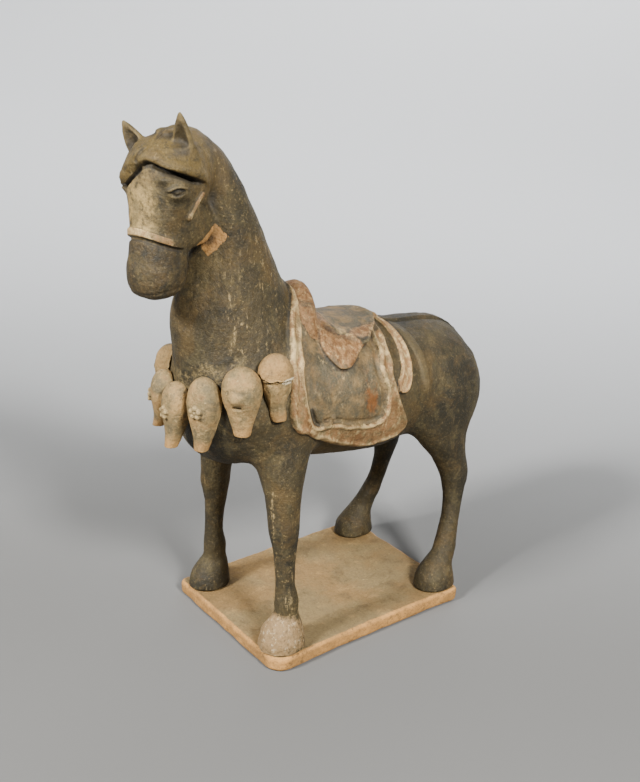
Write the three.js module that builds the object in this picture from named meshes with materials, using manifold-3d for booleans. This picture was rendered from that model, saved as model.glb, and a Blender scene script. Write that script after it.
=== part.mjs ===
// Pottery tomb horse: a saddled horse of hollow earthenware, standing square on a thin clay slab,
// with a row of seven moulded tassel pendants round its chest.
// Millimetres, +Z up. The horse faces -Y and its own left side is +X.
// The origin is the centre of the slab's underside.
import * as THREE from 'three';
import { mergeVertices } from 'three/addons/utils/BufferGeometryUtils.js';
import Module from 'manifold-3d';

// Driving dimensions
const HORSE_HEIGHT = 324; // soles to the tip of the left ear
const SLAB_THICKNESS = 10;
const SLAB_SIDE_MARGIN = 16; // from the middle of a fore hoof out to the slab's long edge
const SLAB_FRONT_MARGIN = 16;
const SLAB_BACK_MARGIN = 11;
const SLAB_WORN_CORNER = 13; // radius of the rounded front left corner
const SLAB_CUT_CORNER = 5; // radius of the other three
const SLAB_EDGE_DIP = 2; // how far the long left edge bows inwards
const LUTING_GAP = 0.3; // between pieces that touch

// The horse is set out on a grid of squares, as many to its height as its height in millimetres
const GRID_SQUARES = 324;
const sq = HORSE_HEIGHT / GRID_SQUARES;
const GAP = LUTING_GAP / sq; // the luting gap in grid squares

// Where the hooves stand, in grid squares from the middle of the stance
const FORE_HOOF = { x: 44, y: -60 };
const HIND_HOOF = { x: 45, y: 63 };

const slabFront = FORE_HOOF.y * sq - SLAB_FRONT_MARGIN;
const slabBack = HIND_HOOF.y * sq + SLAB_BACK_MARGIN;
const slabLength = slabBack - slabFront;
const slabWidth = 2 * (FORE_HOOF.x * sq + SLAB_SIDE_MARGIN);
const slabMiddle = (slabFront + slabBack) / 2;
const soleHeight = SLAB_THICKNESS + LUTING_GAP;

// Head's turn to the horse's left, about an upright line through the poll
const HEAD_TURN = THREE.MathUtils.degToRad(16);
const POLL_Y = -85;

const UP = new THREE.Vector3(0, 0, 1);
const BACK = new THREE.Vector3(0, 1, 0);
const LEFT = new THREE.Vector3(1, 0, 0);
const SIDE_REACH = 160; // long enough to cut right through the figure

// Flat faces round each kind of section
const BARREL_SIDES = 24;
const NECK_SIDES = 20;
const HEAD_SIDES = 20;
const POMMEL_SIDES = 20;
const LEG_SIDES = 12;
const PENDANT_SIDES = 12;
const EAR_SIDES = 10;
const HOLLOW_SIDES = 8;
const LOCK_SIDES = 8;
const TAIL_SIDES = 8;
const STRAP_SIDES = 6;
const CORNER_STEPS = 5;

const wasm = await Module();
wasm.setup();

// A closed geometry as a solid that can be joined and cut
function solid(geometry) {
  const skin = geometry.clone();
  skin.deleteAttribute('normal');
  skin.deleteAttribute('uv');
  const merged = mergeVertices(skin, 0.0005);
  const mesh = new wasm.Mesh({
    numProp: 3,
    vertProperties: new Float32Array(merged.attributes.position.array),
    triVerts: new Uint32Array(merged.index.array),
  });
  return new wasm.Manifold(mesh);
}

// The solid back as a geometry with flat faces
function geometryOf(shape) {
  const mesh = shape.getMesh();
  const geometry = new THREE.BufferGeometry();
  const corners = new Float32Array(mesh.vertProperties);
  geometry.setAttribute('position', new THREE.BufferAttribute(corners, 3));
  geometry.setIndex(new THREE.BufferAttribute(new Uint32Array(mesh.triVerts), 1));
  geometry.computeVertexNormals();
  return geometry;
}

// A station's values that it may leave out: an offset of its centre and its boxiness
const FALLBACK = { x: 0, y: 0, z: 0, square: 2 };

// A section point at angle a: a rounded oval, boxier as square grows
function ovalPoint(ring, a) {
  const power = 2 / ring.square;
  const across = Math.sign(Math.sin(a)) * Math.abs(Math.sin(a)) ** power;
  const along = Math.sign(Math.cos(a)) * Math.abs(Math.cos(a)) ** power;
  return { u: ring.wide * across, v: ring.deep * along };
}

// A loft through oval rings; place(ring, u, v) says where a section point lies
function loft(stations, sides, place) {
  const rings = stations.map((ring) => ({ ...FALLBACK, ...ring }));
  const rows = rings.length - 1;
  const skin = new THREE.CylinderGeometry(1, 1, 1, sides, rows);
  const position = skin.attributes.position;
  for (let i = 0; i < position.count; i += 1) {
    const ring = rings[Math.round((0.5 - position.getY(i)) * rows)];
    const reach = Math.hypot(position.getX(i), position.getZ(i));
    const angle = Math.atan2(position.getX(i), position.getZ(i));
    const { u, v } = ovalPoint(ring, angle);
    const point = place(ring, u * reach, v * reach);
    position.setXYZ(i, point.x, point.y, point.z);
  }
  const shape = solid(skin);
  return shape.volume() < 0 ? solid(turnedInsideOut(skin)) : shape;
}

function turnedInsideOut(geometry) {
  const index = geometry.index;
  for (let i = 0; i < index.count; i += 3) {
    const a = index.getX(i);
    index.setX(i, index.getX(i + 1));
    index.setX(i + 1, a);
  }
  return geometry;
}

// Level rings, stacked up: t is the height, y grows to the rump
const level = (ring, u, v) => new THREE.Vector3(ring.x + u, ring.y + v, ring.t).multiplyScalar(sq);
// Upright rings, in a row from chest to rump: t is the place along the back
const upright = (ring, u, v) => new THREE.Vector3(ring.x + u, ring.t, ring.z + v).multiplyScalar(sq);

// Barrel from the chest to the buttocks
const BARREL = [
  { t: -98, z: 153, wide: 6, deep: 8 },
  { t: -93, z: 152, wide: 26, deep: 26 },
  { t: -80, z: 151.5, wide: 39, deep: 36.5 },
  { t: -60, z: 151.5, wide: 44, deep: 39.5 },
  { t: -35, z: 150.5, wide: 46, deep: 42.5 },
  { t: 0, z: 145.5, wide: 47, deep: 44.5 },
  { t: 30, z: 141, wide: 46, deep: 44 },
  { t: 55, z: 140, wide: 44, deep: 38.5 },
  { t: 80, z: 137.5, wide: 43, deep: 38.3 },
  { t: 98, z: 132.5, wide: 37.5, deep: 37.5 },
  { t: 111, z: 127, wide: 25.5, deep: 29 },
  { t: 117.5, z: 125, wide: 8, deep: 9 },
];

// Neck, from inside the withers up to the poll
const NECK = [
  { t: 150, y: -56, wide: 38, deep: 42 },
  { t: 170, y: -55, wide: 37, deep: 44 },
  { t: 190, y: -57, wide: 32, deep: 44 },
  { t: 205, y: -62, wide: 28, deep: 40 },
  { t: 220, y: -64.5, wide: 25, deep: 33.5 },
  { t: 235, y: -65, wide: 22.5, deep: 27 },
  { t: 250, y: -66, wide: 20.5, deep: 22 },
  { t: 265, y: -69, wide: 19, deep: 18.5 },
  { t: 280, y: -73.5, wide: 17.5, deep: 16 },
  { t: 293, y: -80, wide: 15.5, deep: 15.5 },
  { t: 303, y: -87, wide: 13, deep: 14.5 },
  { t: 311, y: -93, wide: 8, deep: 9.5 },
  { t: 314, y: -95, wide: 2, deep: 3 },
];

// Tail: bound short, lying in low relief on the rump
const TAIL = [
  { t: 104, y: 111, wide: 3, deep: 4 },
  { t: 112, y: 114, wide: 5, deep: 5 },
  { t: 135, y: 116, wide: 5.5, deep: 5 },
  { t: 152, y: 111.5, wide: 5, deep: 5 },
  { t: 162, y: 105, wide: 3, deep: 5 },
];

// Harness, in the side view: [place along the back, height]
const BLANKET_THICK = 1.6;
const BORDER_THICK = 2.6;
const SADDLE_THICK = 4;
const STRAP_THICK = 2.4;
const RIBBON_THICK = 1.3;
const BLANKET_OUTLINE = [
  [-20, 238], [-29, 220], [-39, 207], [-46, 189], [-52, 168], [-54.5, 151], [-50, 142], [-40, 136],
  [-20, 124], [2, 115], [20, 114.5], [31, 119], [34.5, 127], [29, 138], [23, 157], [27, 176],
  [31, 200], [20, 236],
];
const CLOTH_CLEARANCE = BLANKET_OUTLINE.map(([back, up]) => [back - GAP, up]);
const BLANKET_FIELD = [
  [-25, 240], [-30, 208], [-37, 188], [-42.5, 168], [-41, 150], [-36, 142.5], [-27, 142], [-10, 137],
  [9, 135], [15, 148], [14, 166], [18, 180], [20, 240],
];
const SADDLE_OUTLINE = [
  [-8, 230], [-19, 195], [-23, 185], [-21, 177], [-16, 171.5], [-9, 171], [-3, 174], [5, 179],
  [20, 184], [31, 187], [36, 192], [34, 230],
];
const LOBE_OUTLINE = [
  [40, 188], [44, 180], [43, 170], [40, 160], [36, 150.5], [30, 147], [25.5, 149], [25.5, 154],
  [30, 161], [34, 170], [37, 180], [38, 187],
];
const RIBBON_OUTLINE = [
  [47, 178], [54, 177], [55, 164], [54, 148], [50.5, 142], [47, 148], [47.5, 163],
];
const CRUPPER = { wide: 9, from: 34, to: 114, above: 140 };

// Pommel: an upright arch across the withers, raked so that its feet lie forward
const POMMEL_TOP = 217;
const POMMEL_RAKE = 0.42;
const POMMEL = [
  { t: -28, z: 180, wide: 17, deep: 26 },
  { t: -25, z: 177, wide: 24, deep: 36 },
  { t: -19, z: 176, wide: 28.5, deep: 40 },
  { t: -14, z: 176, wide: 29.5, deep: 39 },
  { t: -10, z: 176, wide: 29, deep: 33 },
  { t: -4, z: 177, wide: 26, deep: 22 },
];

// The head's details: left of its middle, forward of the poll, and up from the soles
const EYE = { left: 18.2, forward: 30.5, up: 286.5, ball: [3.6, 5, 3.4] };
const BROW = { left: 17.2, forward: 30.5, up: 291.5, ball: [3.8, 6.5, 2.4] };
const NOSTRIL = { left: 14.5, forward: 39, up: 236.5, ball: [3, 2.5, 2.6] };
const CHEEK_STRAP = { left: 19, back: 14, top: 282, front: 23, bottom: 268, thick: 1.8 };
const NOSEBAND = { thick: 1.2, tall: 4.8, forward: 30, up: 258.6, slope: -0.3 };
const HAIR_THICK = 2.4;
const HAIR_FIRST_STATION = 6;
const HAIR_BACK_EDGE = 9; // the face opening starts this far forward of the poll
const FACE_OPENING = [
  [-30, 276], [0, 302.5], [9, 301], [18.5, 296], [23, 289], [27, 280], [30, 250], [-30, 250],
];
const LOCK = { root: [-1, 34, 303], tip: [-19, 33, 284.5], thick: 5.2, thin: 3.6 };
const EAR = { thick: 7.6, point: 1, hollow: 5, hollowSet: [1.5, -5, 3] };
const LEFT_EAR = { base: [12.5, 19, 297], tip: [16, 25, 324] };
const RIGHT_EAR = { base: [-18.5, 19, 295], tip: [-28.5, 23.5, 315.6] };

// A tassel pendant's rings: t runs from its top to its tip, sizes are shares of its half width,
// and y is how far the middle stands out. A pendant's kick bends its tip outwards by that share
const TASSEL = [
  { t: 0, y: -0.1, wide: 0.25, deep: 0.2 },
  { t: 0.06, y: -0.1, wide: 0.6, deep: 0.5 },
  { t: 0.16, y: -0.05, wide: 0.86, deep: 0.72 },
  { t: 0.32, y: 0, wide: 1, deep: 0.84 },
  { t: 0.48, y: 0, wide: 0.96, deep: 0.8 },
  { t: 0.66, y: 0, wide: 0.76, deep: 0.66 },
  { t: 0.84, y: 0, wide: 0.55, deep: 0.5 },
  { t: 1, y: 0, wide: 0.42, deep: 0.38 },
];
const ROSETTE = { out: 0.86, down: 0.42, petals: 5, ring: 2.7, petal: 1.9 };
// From the horse's right shoulder round the chest to its left
const PENDANTS = [
  { x: -43.5, y: -66, top: 186, tip: 149, wide: 10.5, facing: -80, kick: 0.2 },
  { x: -33.5, y: -87.5, top: 180, tip: 143, wide: 10.5, facing: -54, kick: 0.3 },
  { x: -16.5, y: -101, top: 172, tip: 136, wide: 10, facing: -32, kick: 0.5, rosette: true },
  { x: 2.5, y: -103.5, top: 171, tip: 131, wide: 10, facing: -2, kick: 0.4, rosette: true },
  { x: 22.5, y: -96.5, top: 178.5, tip: 134.5, wide: 10.5, facing: 22, kick: 0.2, rosette: true },
  { x: 39, y: -82, top: 186.5, tip: 146.5, wide: 11.5, facing: 44, kick: 0.15 },
  { x: 43.5, y: -62.5, top: 193, tip: 152, wide: 10.8, facing: 74, kick: 0.1 },
];

// Head in its own frame before the turn: y is measured from the poll, and forwards is -y
const HEAD = [
  { t: 225, y: -33, wide: 5, deep: 5 },
  { t: 228, y: -32.5, wide: 12, deep: 11.5, square: 2.3 },
  { t: 233, y: -32, wide: 15.2, deep: 14.8, square: 2.4 },
  { t: 241, y: -31, wide: 16.2, deep: 16.2, square: 2.4 },
  { t: 250, y: -29.5, wide: 15.6, deep: 15.5, square: 2.4 },
  { t: 260, y: -27, wide: 16, deep: 16, square: 2.4 },
  { t: 273, y: -22.5, wide: 18.5, deep: 18, square: 2.7 },
  { t: 286, y: -19, wide: 21, deep: 20, square: 3 },
  { t: 297, y: -17, wide: 20, deep: 19.5, square: 2.6 },
  { t: 307, y: -14, wide: 15, deep: 16, square: 2.4 },
  { t: 313, y: -11, wide: 6, deep: 8 },
];

const FORE_LEG = [
  { t: 0, x: 44, y: -60.5, wide: 13, deep: 14.5 },
  { t: 8, x: 44, y: -59.8, wide: 12, deep: 13.4 },
  { t: 15, x: 43.5, y: -58, wide: 9.6, deep: 10.8 },
  { t: 21, x: 43, y: -56.5, wide: 7, deep: 8.2 },
  { t: 29, x: 43, y: -56, wide: 6.8, deep: 8 },
  { t: 40, x: 42.5, y: -56.5, wide: 5.8, deep: 6.4 },
  { t: 54, x: 41.5, y: -56, wide: 6.2, deep: 6.6 },
  { t: 66, x: 40.5, y: -55.5, wide: 7.6, deep: 8 },
  { t: 77, x: 40, y: -55.5, wide: 9, deep: 10 },
  { t: 88, x: 39, y: -55, wide: 9.5, deep: 10.4 },
  { t: 100, x: 37.5, y: -54, wide: 11, deep: 12 },
  { t: 114, x: 35, y: -53, wide: 13, deep: 15.5 },
  { t: 130, x: 32, y: -52, wide: 14, deep: 20 },
  { t: 150, x: 28, y: -52, wide: 12, deep: 20 },
];

const HIND_LEG = [
  { t: 0, x: 45, y: 63, wide: 13, deep: 15 },
  { t: 8, x: 45, y: 63.8, wide: 11.6, deep: 13.6 },
  { t: 15, x: 44.5, y: 66.5, wide: 9, deep: 11 },
  { t: 22, x: 44, y: 71.5, wide: 7, deep: 9.2 },
  { t: 30, x: 42, y: 75.5, wide: 6.6, deep: 8 },
  { t: 44, x: 39.5, y: 80.5, wide: 5.8, deep: 6.8 },
  { t: 58, x: 37.5, y: 83.8, wide: 6.2, deep: 7.6 },
  { t: 72, x: 36, y: 85.3, wide: 8, deep: 10.5 },
  { t: 86, x: 34.5, y: 81.5, wide: 9.5, deep: 13 },
  { t: 102, x: 33.5, y: 75, wide: 12.2, deep: 19 },
  { t: 118, x: 32, y: 74, wide: 14.5, deep: 27 },
  { t: 135, x: 28, y: 76, wide: 16, deep: 30 },
  { t: 150, x: 22, y: 78, wide: 14, deep: 26 },
];

const mirrored = (stations) => stations.map((ring) => ({ ...ring, x: -ring.x }));

// A thing's stations grown by so much all round
function grown(stations, by) {
  return stations.map((ring) => ({ ...ring, wide: ring.wide + by, deep: ring.deep + by }));
}

// From the head's own frame, before its turn about the poll, to the figure's
const HEAD_PLACE = new THREE.Matrix4().makeScale(sq, sq, sq)
  .multiply(new THREE.Matrix4().makeTranslation(0, POLL_Y, 0))
  .multiply(new THREE.Matrix4().makeRotationZ(HEAD_TURN));

// A point of the head, given as left, forward and up
function headPoint(left, forward, up) {
  return new THREE.Vector3(left, -forward, up).applyMatrix4(HEAD_PLACE);
}
const onHead = (ring, u, v) => headPoint(ring.x + u, -ring.y - v, ring.t);

// A closed outline in the side view, as [place along the back, height] pairs, thick as the horse
function sideCut(corners) {
  const outline = new THREE.Shape(corners.map(([back, up]) => new THREE.Vector2(back, up)));
  const cut = new THREE.ExtrudeGeometry(outline, { depth: SIDE_REACH, bevelEnabled: false });
  cut.translate(0, 0, -SIDE_REACH / 2);
  cut.applyMatrix4(new THREE.Matrix4().makeBasis(BACK, UP, LEFT));
  cut.scale(sq, sq, sq);
  return solid(cut);
}

// A ball with its own half sizes, at a point of the figure
function pebble(centre, halfSizes, detail = 1) {
  const ball = new THREE.IcosahedronGeometry(1, detail);
  ball.scale(halfSizes[0] * sq, halfSizes[1] * sq, halfSizes[2] * sq);
  ball.rotateZ(HEAD_TURN);
  ball.translate(centre.x, centre.y, centre.z);
  return solid(ball);
}

// A tapering rod from one point to another
function rod(from, to, radii, sides) {
  const length = from.distanceTo(to);
  const skin = new THREE.CylinderGeometry(radii[1] * sq, radii[0] * sq, length, sides, 1);
  const heading = to.clone().sub(from).normalize();
  skin.applyQuaternion(new THREE.Quaternion().setFromUnitVectors(BACK, heading));
  const middle = from.clone().lerp(to, 0.5);
  skin.translate(middle.x, middle.y, middle.z);
  return solid(skin);
}

// The trunk with the harness laid on it: each sheet is the grown trunk inside its outline
const barrelGrown = (by) => loft(grown(BARREL, by), BARREL_SIDES, upright);
const trunkGrown = (by) => barrelGrown(by).add(loft(grown(NECK, by), NECK_SIDES, level));
const legGrown = (stations, by) => loft(grown(stations, by), LEG_SIDES, level);

function harness() {
  let sheets = trunkGrown(BLANKET_THICK).intersect(sideCut(BLANKET_OUTLINE));
  const border = sideCut(BLANKET_OUTLINE).subtract(sideCut(BLANKET_FIELD));
  sheets = sheets.add(trunkGrown(BORDER_THICK).intersect(border));
  const onBarrel = [
    [SADDLE_THICK, SADDLE_OUTLINE],
    [STRAP_THICK, LOBE_OUTLINE],
    [RIBBON_THICK, RIBBON_OUTLINE],
  ];
  for (const [thick, outline] of onBarrel) {
    sheets = sheets.add(barrelGrown(thick).intersect(sideCut(outline)));
  }
  const crupper = new THREE.BoxGeometry(CRUPPER.wide, CRUPPER.to - CRUPPER.from, SIDE_REACH);
  crupper.translate(0, (CRUPPER.from + CRUPPER.to) / 2, CRUPPER.above + SIDE_REACH / 2);
  crupper.scale(sq, sq, sq);
  sheets = sheets.add(barrelGrown(RIBBON_THICK).intersect(solid(crupper)));
  const raked = (ring, u, v) => {
    const height = ring.z + v;
    const back = ring.t - POMMEL_RAKE * (POMMEL_TOP - height);
    return new THREE.Vector3(ring.x + u, back, height).multiplyScalar(sq);
  };
  return sheets.add(loft(POMMEL, POMMEL_SIDES, raked));
}

// Hair over the poll, parted on the forehead, with its lower edge standing clear of the face
function forelock() {
  const cap = loft(grown(HEAD.slice(HAIR_FIRST_STATION), HAIR_THICK), HEAD_SIDES, onHead);
  const face = new THREE.Shape(FACE_OPENING.map(([left, up]) => new THREE.Vector2(left, up)));
  const opening = new THREE.ExtrudeGeometry(face, { depth: SIDE_REACH, bevelEnabled: false });
  const forward = BACK.clone().negate();
  opening.applyMatrix4(new THREE.Matrix4().makeBasis(LEFT, UP, forward));
  opening.translate(0, -HAIR_BACK_EDGE, 0);
  opening.applyMatrix4(HEAD_PLACE);
  const radii = [LOCK.thick, LOCK.thin];
  const lock = rod(headPoint(...LOCK.root), headPoint(...LOCK.tip), radii, LOCK_SIDES);
  return cap.subtract(solid(opening)).add(lock);
}

// One ear: a pointed leaf, hollowed in front
function ear({ base, tip }) {
  const from = headPoint(...base);
  const to = headPoint(...tip);
  const leaf = rod(from, to, [EAR.thick, EAR.point], EAR_SIDES);
  const lean = new THREE.Vector3(...EAR.hollowSet).applyAxisAngle(UP, HEAD_TURN).multiplyScalar(sq);
  const radii = [EAR.hollow, EAR.point / 2];
  return leaf.subtract(rod(from.clone().add(lean), to.clone().add(lean), radii, HOLLOW_SIDES));
}

// An eye, brow or nostril on one side of the head: side is 1 for the left, -1 for the right
const feature = (side, { left, forward, up, ball }) => pebble(headPoint(side * left, forward, up), ball);

function cheekStrap(side) {
  const { left, back, top, front, bottom, thick } = CHEEK_STRAP;
  return rod(headPoint(side * left, back, top), headPoint(side * left, front, bottom),
    [thick, thick], STRAP_SIDES);
}

function noseband() {
  const band = new THREE.BoxGeometry(SIDE_REACH, SIDE_REACH, NOSEBAND.tall);
  band.rotateX(NOSEBAND.slope);
  band.translate(0, -NOSEBAND.forward, NOSEBAND.up);
  band.applyMatrix4(HEAD_PLACE);
  return loft(grown(HEAD, NOSEBAND.thick), HEAD_SIDES, onHead).intersect(solid(band));
}

function head() {
  let shape = loft(HEAD, HEAD_SIDES, onHead).add(forelock());
  for (const side of [1, -1]) {
    shape = shape.add(feature(side, EYE)).add(feature(side, BROW));
    shape = shape.subtract(feature(side, NOSTRIL)).add(cheekStrap(side));
  }
  return shape.add(ear(LEFT_EAR)).add(ear(RIGHT_EAR)).add(noseband());
}

function horse() {
  let body = trunkGrown(0).add(harness()).add(head());
  for (const leg of [FORE_LEG, mirrored(FORE_LEG), HIND_LEG, mirrored(HIND_LEG)]) {
    body = body.add(legGrown(leg, 0));
  }
  return body.add(loft(TAIL, TAIL_SIDES, level));
}

// The largest piece of a solid that a cut may have split
function largest(shape) {
  return shape.decompose().reduce((best, piece) => (piece.volume() > best.volume() ? piece : best));
}

// A pendant hangs from its top, faces outwards and kicks its blunt tip out a little
function pendant(spec, gap) {
  const facing = THREE.MathUtils.degToRad(spec.facing);
  const out = new THREE.Vector3(Math.sin(facing), -Math.cos(facing), 0);
  const along = new THREE.Vector3(Math.cos(facing), Math.sin(facing), 0);
  const length = spec.top - spec.tip;
  const place = (ring, u, v) => {
    const point = new THREE.Vector3(spec.x, spec.y, spec.top - ring.t * length);
    const standOut = (ring.y + spec.kick * ring.t ** 3) * spec.wide;
    point.addScaledVector(along, u).addScaledVector(out, standOut + v);
    return point.multiplyScalar(sq);
  };
  const stations = TASSEL.map((ring) => ({
    ...ring, wide: ring.wide * spec.wide + gap, deep: ring.deep * spec.wide + gap,
  }));
  let shape = loft(stations, PENDANT_SIDES, place);
  for (let i = 0; spec.rosette && i < ROSETTE.petals; i += 1) {
    const turn = (2 * Math.PI * i) / ROSETTE.petals;
    const petal = new THREE.Vector3(spec.x, spec.y, spec.top - ROSETTE.down * length);
    petal.addScaledVector(out, ROSETTE.out * spec.wide);
    petal.addScaledVector(along, ROSETTE.ring * Math.sin(turn));
    petal.z += ROSETTE.ring * Math.cos(turn);
    const half = ROSETTE.petal + gap;
    shape = shape.add(pebble(petal.multiplyScalar(sq), [half, half, half], 0));
  }
  return shape;
}

// The slab: a rectangle with rounded corners whose long left edge bows in
function slab() {
  const right = slabWidth / 2;
  const back = slabLength / 2;
  const cut = SLAB_CUT_CORNER;
  const worn = SLAB_WORN_CORNER;
  const outline = new THREE.Shape();
  outline.moveTo(right, worn - back);
  outline.quadraticCurveTo(right - 2 * SLAB_EDGE_DIP, 0, right, back - cut);
  outline.absarc(right - cut, back - cut, cut, 0, Math.PI / 2);
  outline.absarc(cut - right, back - cut, cut, Math.PI / 2, Math.PI);
  outline.absarc(cut - right, cut - back, cut, Math.PI, 1.5 * Math.PI);
  outline.absarc(right - worn, worn - back, worn, 1.5 * Math.PI, 2 * Math.PI);
  const options = { depth: SLAB_THICKNESS, bevelEnabled: false, curveSegments: CORNER_STEPS };
  return new THREE.ExtrudeGeometry(outline, options);
}

const CLAY = new THREE.MeshStandardMaterial({ color: 0xae9577, roughness: 0.92, metalness: 0 });
const PALE = new THREE.MeshStandardMaterial({ color: 0xb9a080, roughness: 0.9, metalness: 0 });
const OLIVE = new THREE.MeshStandardMaterial({ color: 0x5d5036, roughness: 0.85, metalness: 0 });

const model = new THREE.Group();

const slabMesh = new THREE.Mesh(slab(), CLAY);
slabMesh.name = 'base_slab';
model.add(slabMesh);

const figure = new THREE.Group();
figure.position.set(0, -slabMiddle, soleHeight);
model.add(figure);

const horseMesh = new THREE.Mesh(geometryOf(horse()), OLIVE);
horseMesh.name = 'horse';
figure.add(horseMesh);

// Each pendant is cut by the chest behind it and by the pendant before it
const chest = trunkGrown(GAP);
const leftShoulder = legGrown(FORE_LEG, GAP);
const rightShoulder = legGrown(mirrored(FORE_LEG), GAP);
const cloth = trunkGrown(BORDER_THICK + GAP).intersect(sideCut(CLOTH_CLEARANCE));
const backing = chest.add(leftShoulder).add(rightShoulder).add(cloth);
PENDANTS.forEach((spec, i) => {
  let shape = pendant(spec, 0).subtract(backing);
  if (i > 0) shape = shape.subtract(pendant(PENDANTS[i - 1], GAP));
  const mesh = new THREE.Mesh(geometryOf(largest(shape)), PALE);
  mesh.name = `collar_pendant_${i + 1}`;
  figure.add(mesh);
});

export default model;
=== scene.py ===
"""Pottery tomb horse: the fine meshes, their colours, the light and the camera.

The horse, its seven collar pendants and its slab each get one finer mesh in place of the plain
solid. A form is written as a distance field, in the same grid squares as the horse is set out
on: negative inside, positive outside. skin() turns a field into a mesh. The horse faces -Y and
its own left side is +X.
"""

import math

import bpy
import numpy as np
from mathutils import Matrix, Vector


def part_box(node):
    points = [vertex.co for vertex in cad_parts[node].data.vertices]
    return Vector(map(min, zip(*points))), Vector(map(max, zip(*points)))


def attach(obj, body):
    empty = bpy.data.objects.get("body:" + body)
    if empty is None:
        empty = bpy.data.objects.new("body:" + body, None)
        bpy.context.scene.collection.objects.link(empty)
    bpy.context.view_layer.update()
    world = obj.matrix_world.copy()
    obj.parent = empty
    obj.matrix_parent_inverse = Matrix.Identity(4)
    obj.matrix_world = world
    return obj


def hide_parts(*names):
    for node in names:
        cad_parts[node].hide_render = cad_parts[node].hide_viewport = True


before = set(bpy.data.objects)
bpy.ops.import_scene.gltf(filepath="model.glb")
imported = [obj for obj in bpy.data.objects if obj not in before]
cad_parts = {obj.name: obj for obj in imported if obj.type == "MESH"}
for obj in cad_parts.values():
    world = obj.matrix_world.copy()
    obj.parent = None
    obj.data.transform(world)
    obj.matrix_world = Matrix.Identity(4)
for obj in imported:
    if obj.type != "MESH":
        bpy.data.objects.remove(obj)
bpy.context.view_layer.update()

# The frame: one grid square in metres, and where the grid lies in the row frame
GRID_SQUARES = 324  # from the soles to the tip of the left ear
TAIL_BACK = 121  # the hindmost point, in grid squares
horse_low, horse_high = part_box("horse")
SQUARE = (horse_high[2] - horse_low[2]) / GRID_SQUARES
GRID_ORIGIN = np.array([0, horse_high[1] - TAIL_BACK * SQUARE, horse_low[2]])

PITCH = 0.95  # grid squares between the samples of the horse's field
PENDANT_PITCH = 0.45
SLAB_PITCH = 1.0
BLOCK = 6  # samples along a block that is skipped where the skin is far away
MOST_TRIANGLES = 190000
FAR = 30.0  # grid squares: what a field says where nothing is near
CORNERS = [(i, j, k) for i in (0, 1) for j in (0, 1) for k in (0, 1)]  # of a cell between samples

# How far the horse is sampled to either side, to the back, and before the chest line and above
# the chin line, where the samples lie closer together
SIDE_END = 62
BACK_END = 124
CHEST_LINE = -78
BEFORE_CHEST = 64
CHIN_LINE = 222
ABOVE_CHIN = 104

POLL_Y = -85
HEAD_TURN = math.radians(16)

# Barrel: place along the back, height of its middle, half width, half depth
BARREL = (
    (-98, 153, 6, 8),
    (-93, 152, 26, 26),
    (-80, 151.5, 39, 36.5),
    (-60, 151.5, 44, 39.5),
    (-35, 150.5, 46, 42.5),
    (0, 145.5, 47, 44.5),
    (30, 141, 46, 44),
    (55, 140, 44, 38.5),
    (80, 137.5, 43, 38.3),
    (98, 132.5, 37.5, 37.5),
    (111, 127, 25.5, 29),
    (117.5, 125, 8, 9),
)

# Neck: height, place of its middle along the back, half width, half depth
NECK = (
    (150, -56, 38, 42),
    (170, -55, 37, 44),
    (190, -57, 32, 44),
    (205, -62, 28, 40),
    (220, -64.5, 25, 33.5),
    (235, -65, 22.5, 27),
    (250, -66, 20.5, 22),
    (265, -69, 19, 18.5),
    (280, -73.5, 17.5, 16),
    (293, -80, 15.5, 15.5),
    (303, -87, 13, 14.5),
    (311, -93, 8, 9.5),
    (314, -95, 2, 3),
)

# Head before its turn: height, place behind the poll, half width, half depth, boxiness
HEAD = (
    (225, -33, 5, 5, 2),
    (228, -32.5, 12, 11.5, 2.3),
    (233, -32, 14.6, 14.6, 2.4),
    (241, -31, 15.6, 15.9, 2.4),
    (250, -29.5, 15, 15.4, 2.4),
    (260, -27, 15.6, 16, 2.4),
    (273, -22.5, 18.5, 18, 2.7),
    (286, -19, 21, 20, 3),
    (297, -17, 20, 19.5, 2.6),
    (305.5, -14, 15, 16, 2.4),
    (311, -11, 6, 8, 2),
)

# Legs: height, place along the back, half width, half depth, boxiness, distance from the middle
FORE_LEG = (
    (0, -60.5, 13, 14.5, 2, 44),
    (8, -59.8, 12, 13.4, 2, 44),
    (15, -58, 9.6, 10.8, 2, 43.5),
    (21, -56.5, 7, 8.2, 2, 43),
    (29, -56, 6.8, 8, 2, 43),
    (40, -56.5, 5.8, 6.4, 2, 42.5),
    (54, -56, 6.2, 6.6, 2, 41.5),
    (66, -55.5, 7.6, 8, 2, 40.5),
    (77, -55.5, 9, 10, 2, 40),
    (88, -55, 9.5, 10.4, 2, 39),
    (100, -54, 11, 12, 2, 37.5),
    (114, -53, 13, 15.5, 2, 35),
    (130, -52, 14, 20, 2, 32),
    (150, -52, 12, 20, 2, 28),
)
HIND_LEG = (
    (0, 63, 13, 15, 2, 45),
    (8, 63.8, 11.6, 13.6, 2, 45),
    (15, 66.5, 9, 11, 2, 44.5),
    (22, 71.5, 7, 9.2, 2, 44),
    (30, 75.5, 6.6, 8, 2, 42),
    (44, 80.5, 5.8, 6.8, 2, 39.5),
    (58, 83.8, 6.2, 7.6, 2, 37.5),
    (72, 85.3, 8, 10.5, 2, 36),
    (86, 81.5, 9.5, 13, 2, 34.5),
    (102, 75, 12.2, 19, 2, 33.5),
    (118, 74, 14.5, 27, 2, 32),
    (135, 76, 16, 30, 2, 28),
    (150, 78, 14, 26, 2, 22),
)
TAIL = (
    (104, 111, 3, 4),
    (112, 114, 5, 5),
    (135, 115.7, 5.5, 5),
    (152, 111.5, 5, 5),
    (162, 105, 3, 5),
)

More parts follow.
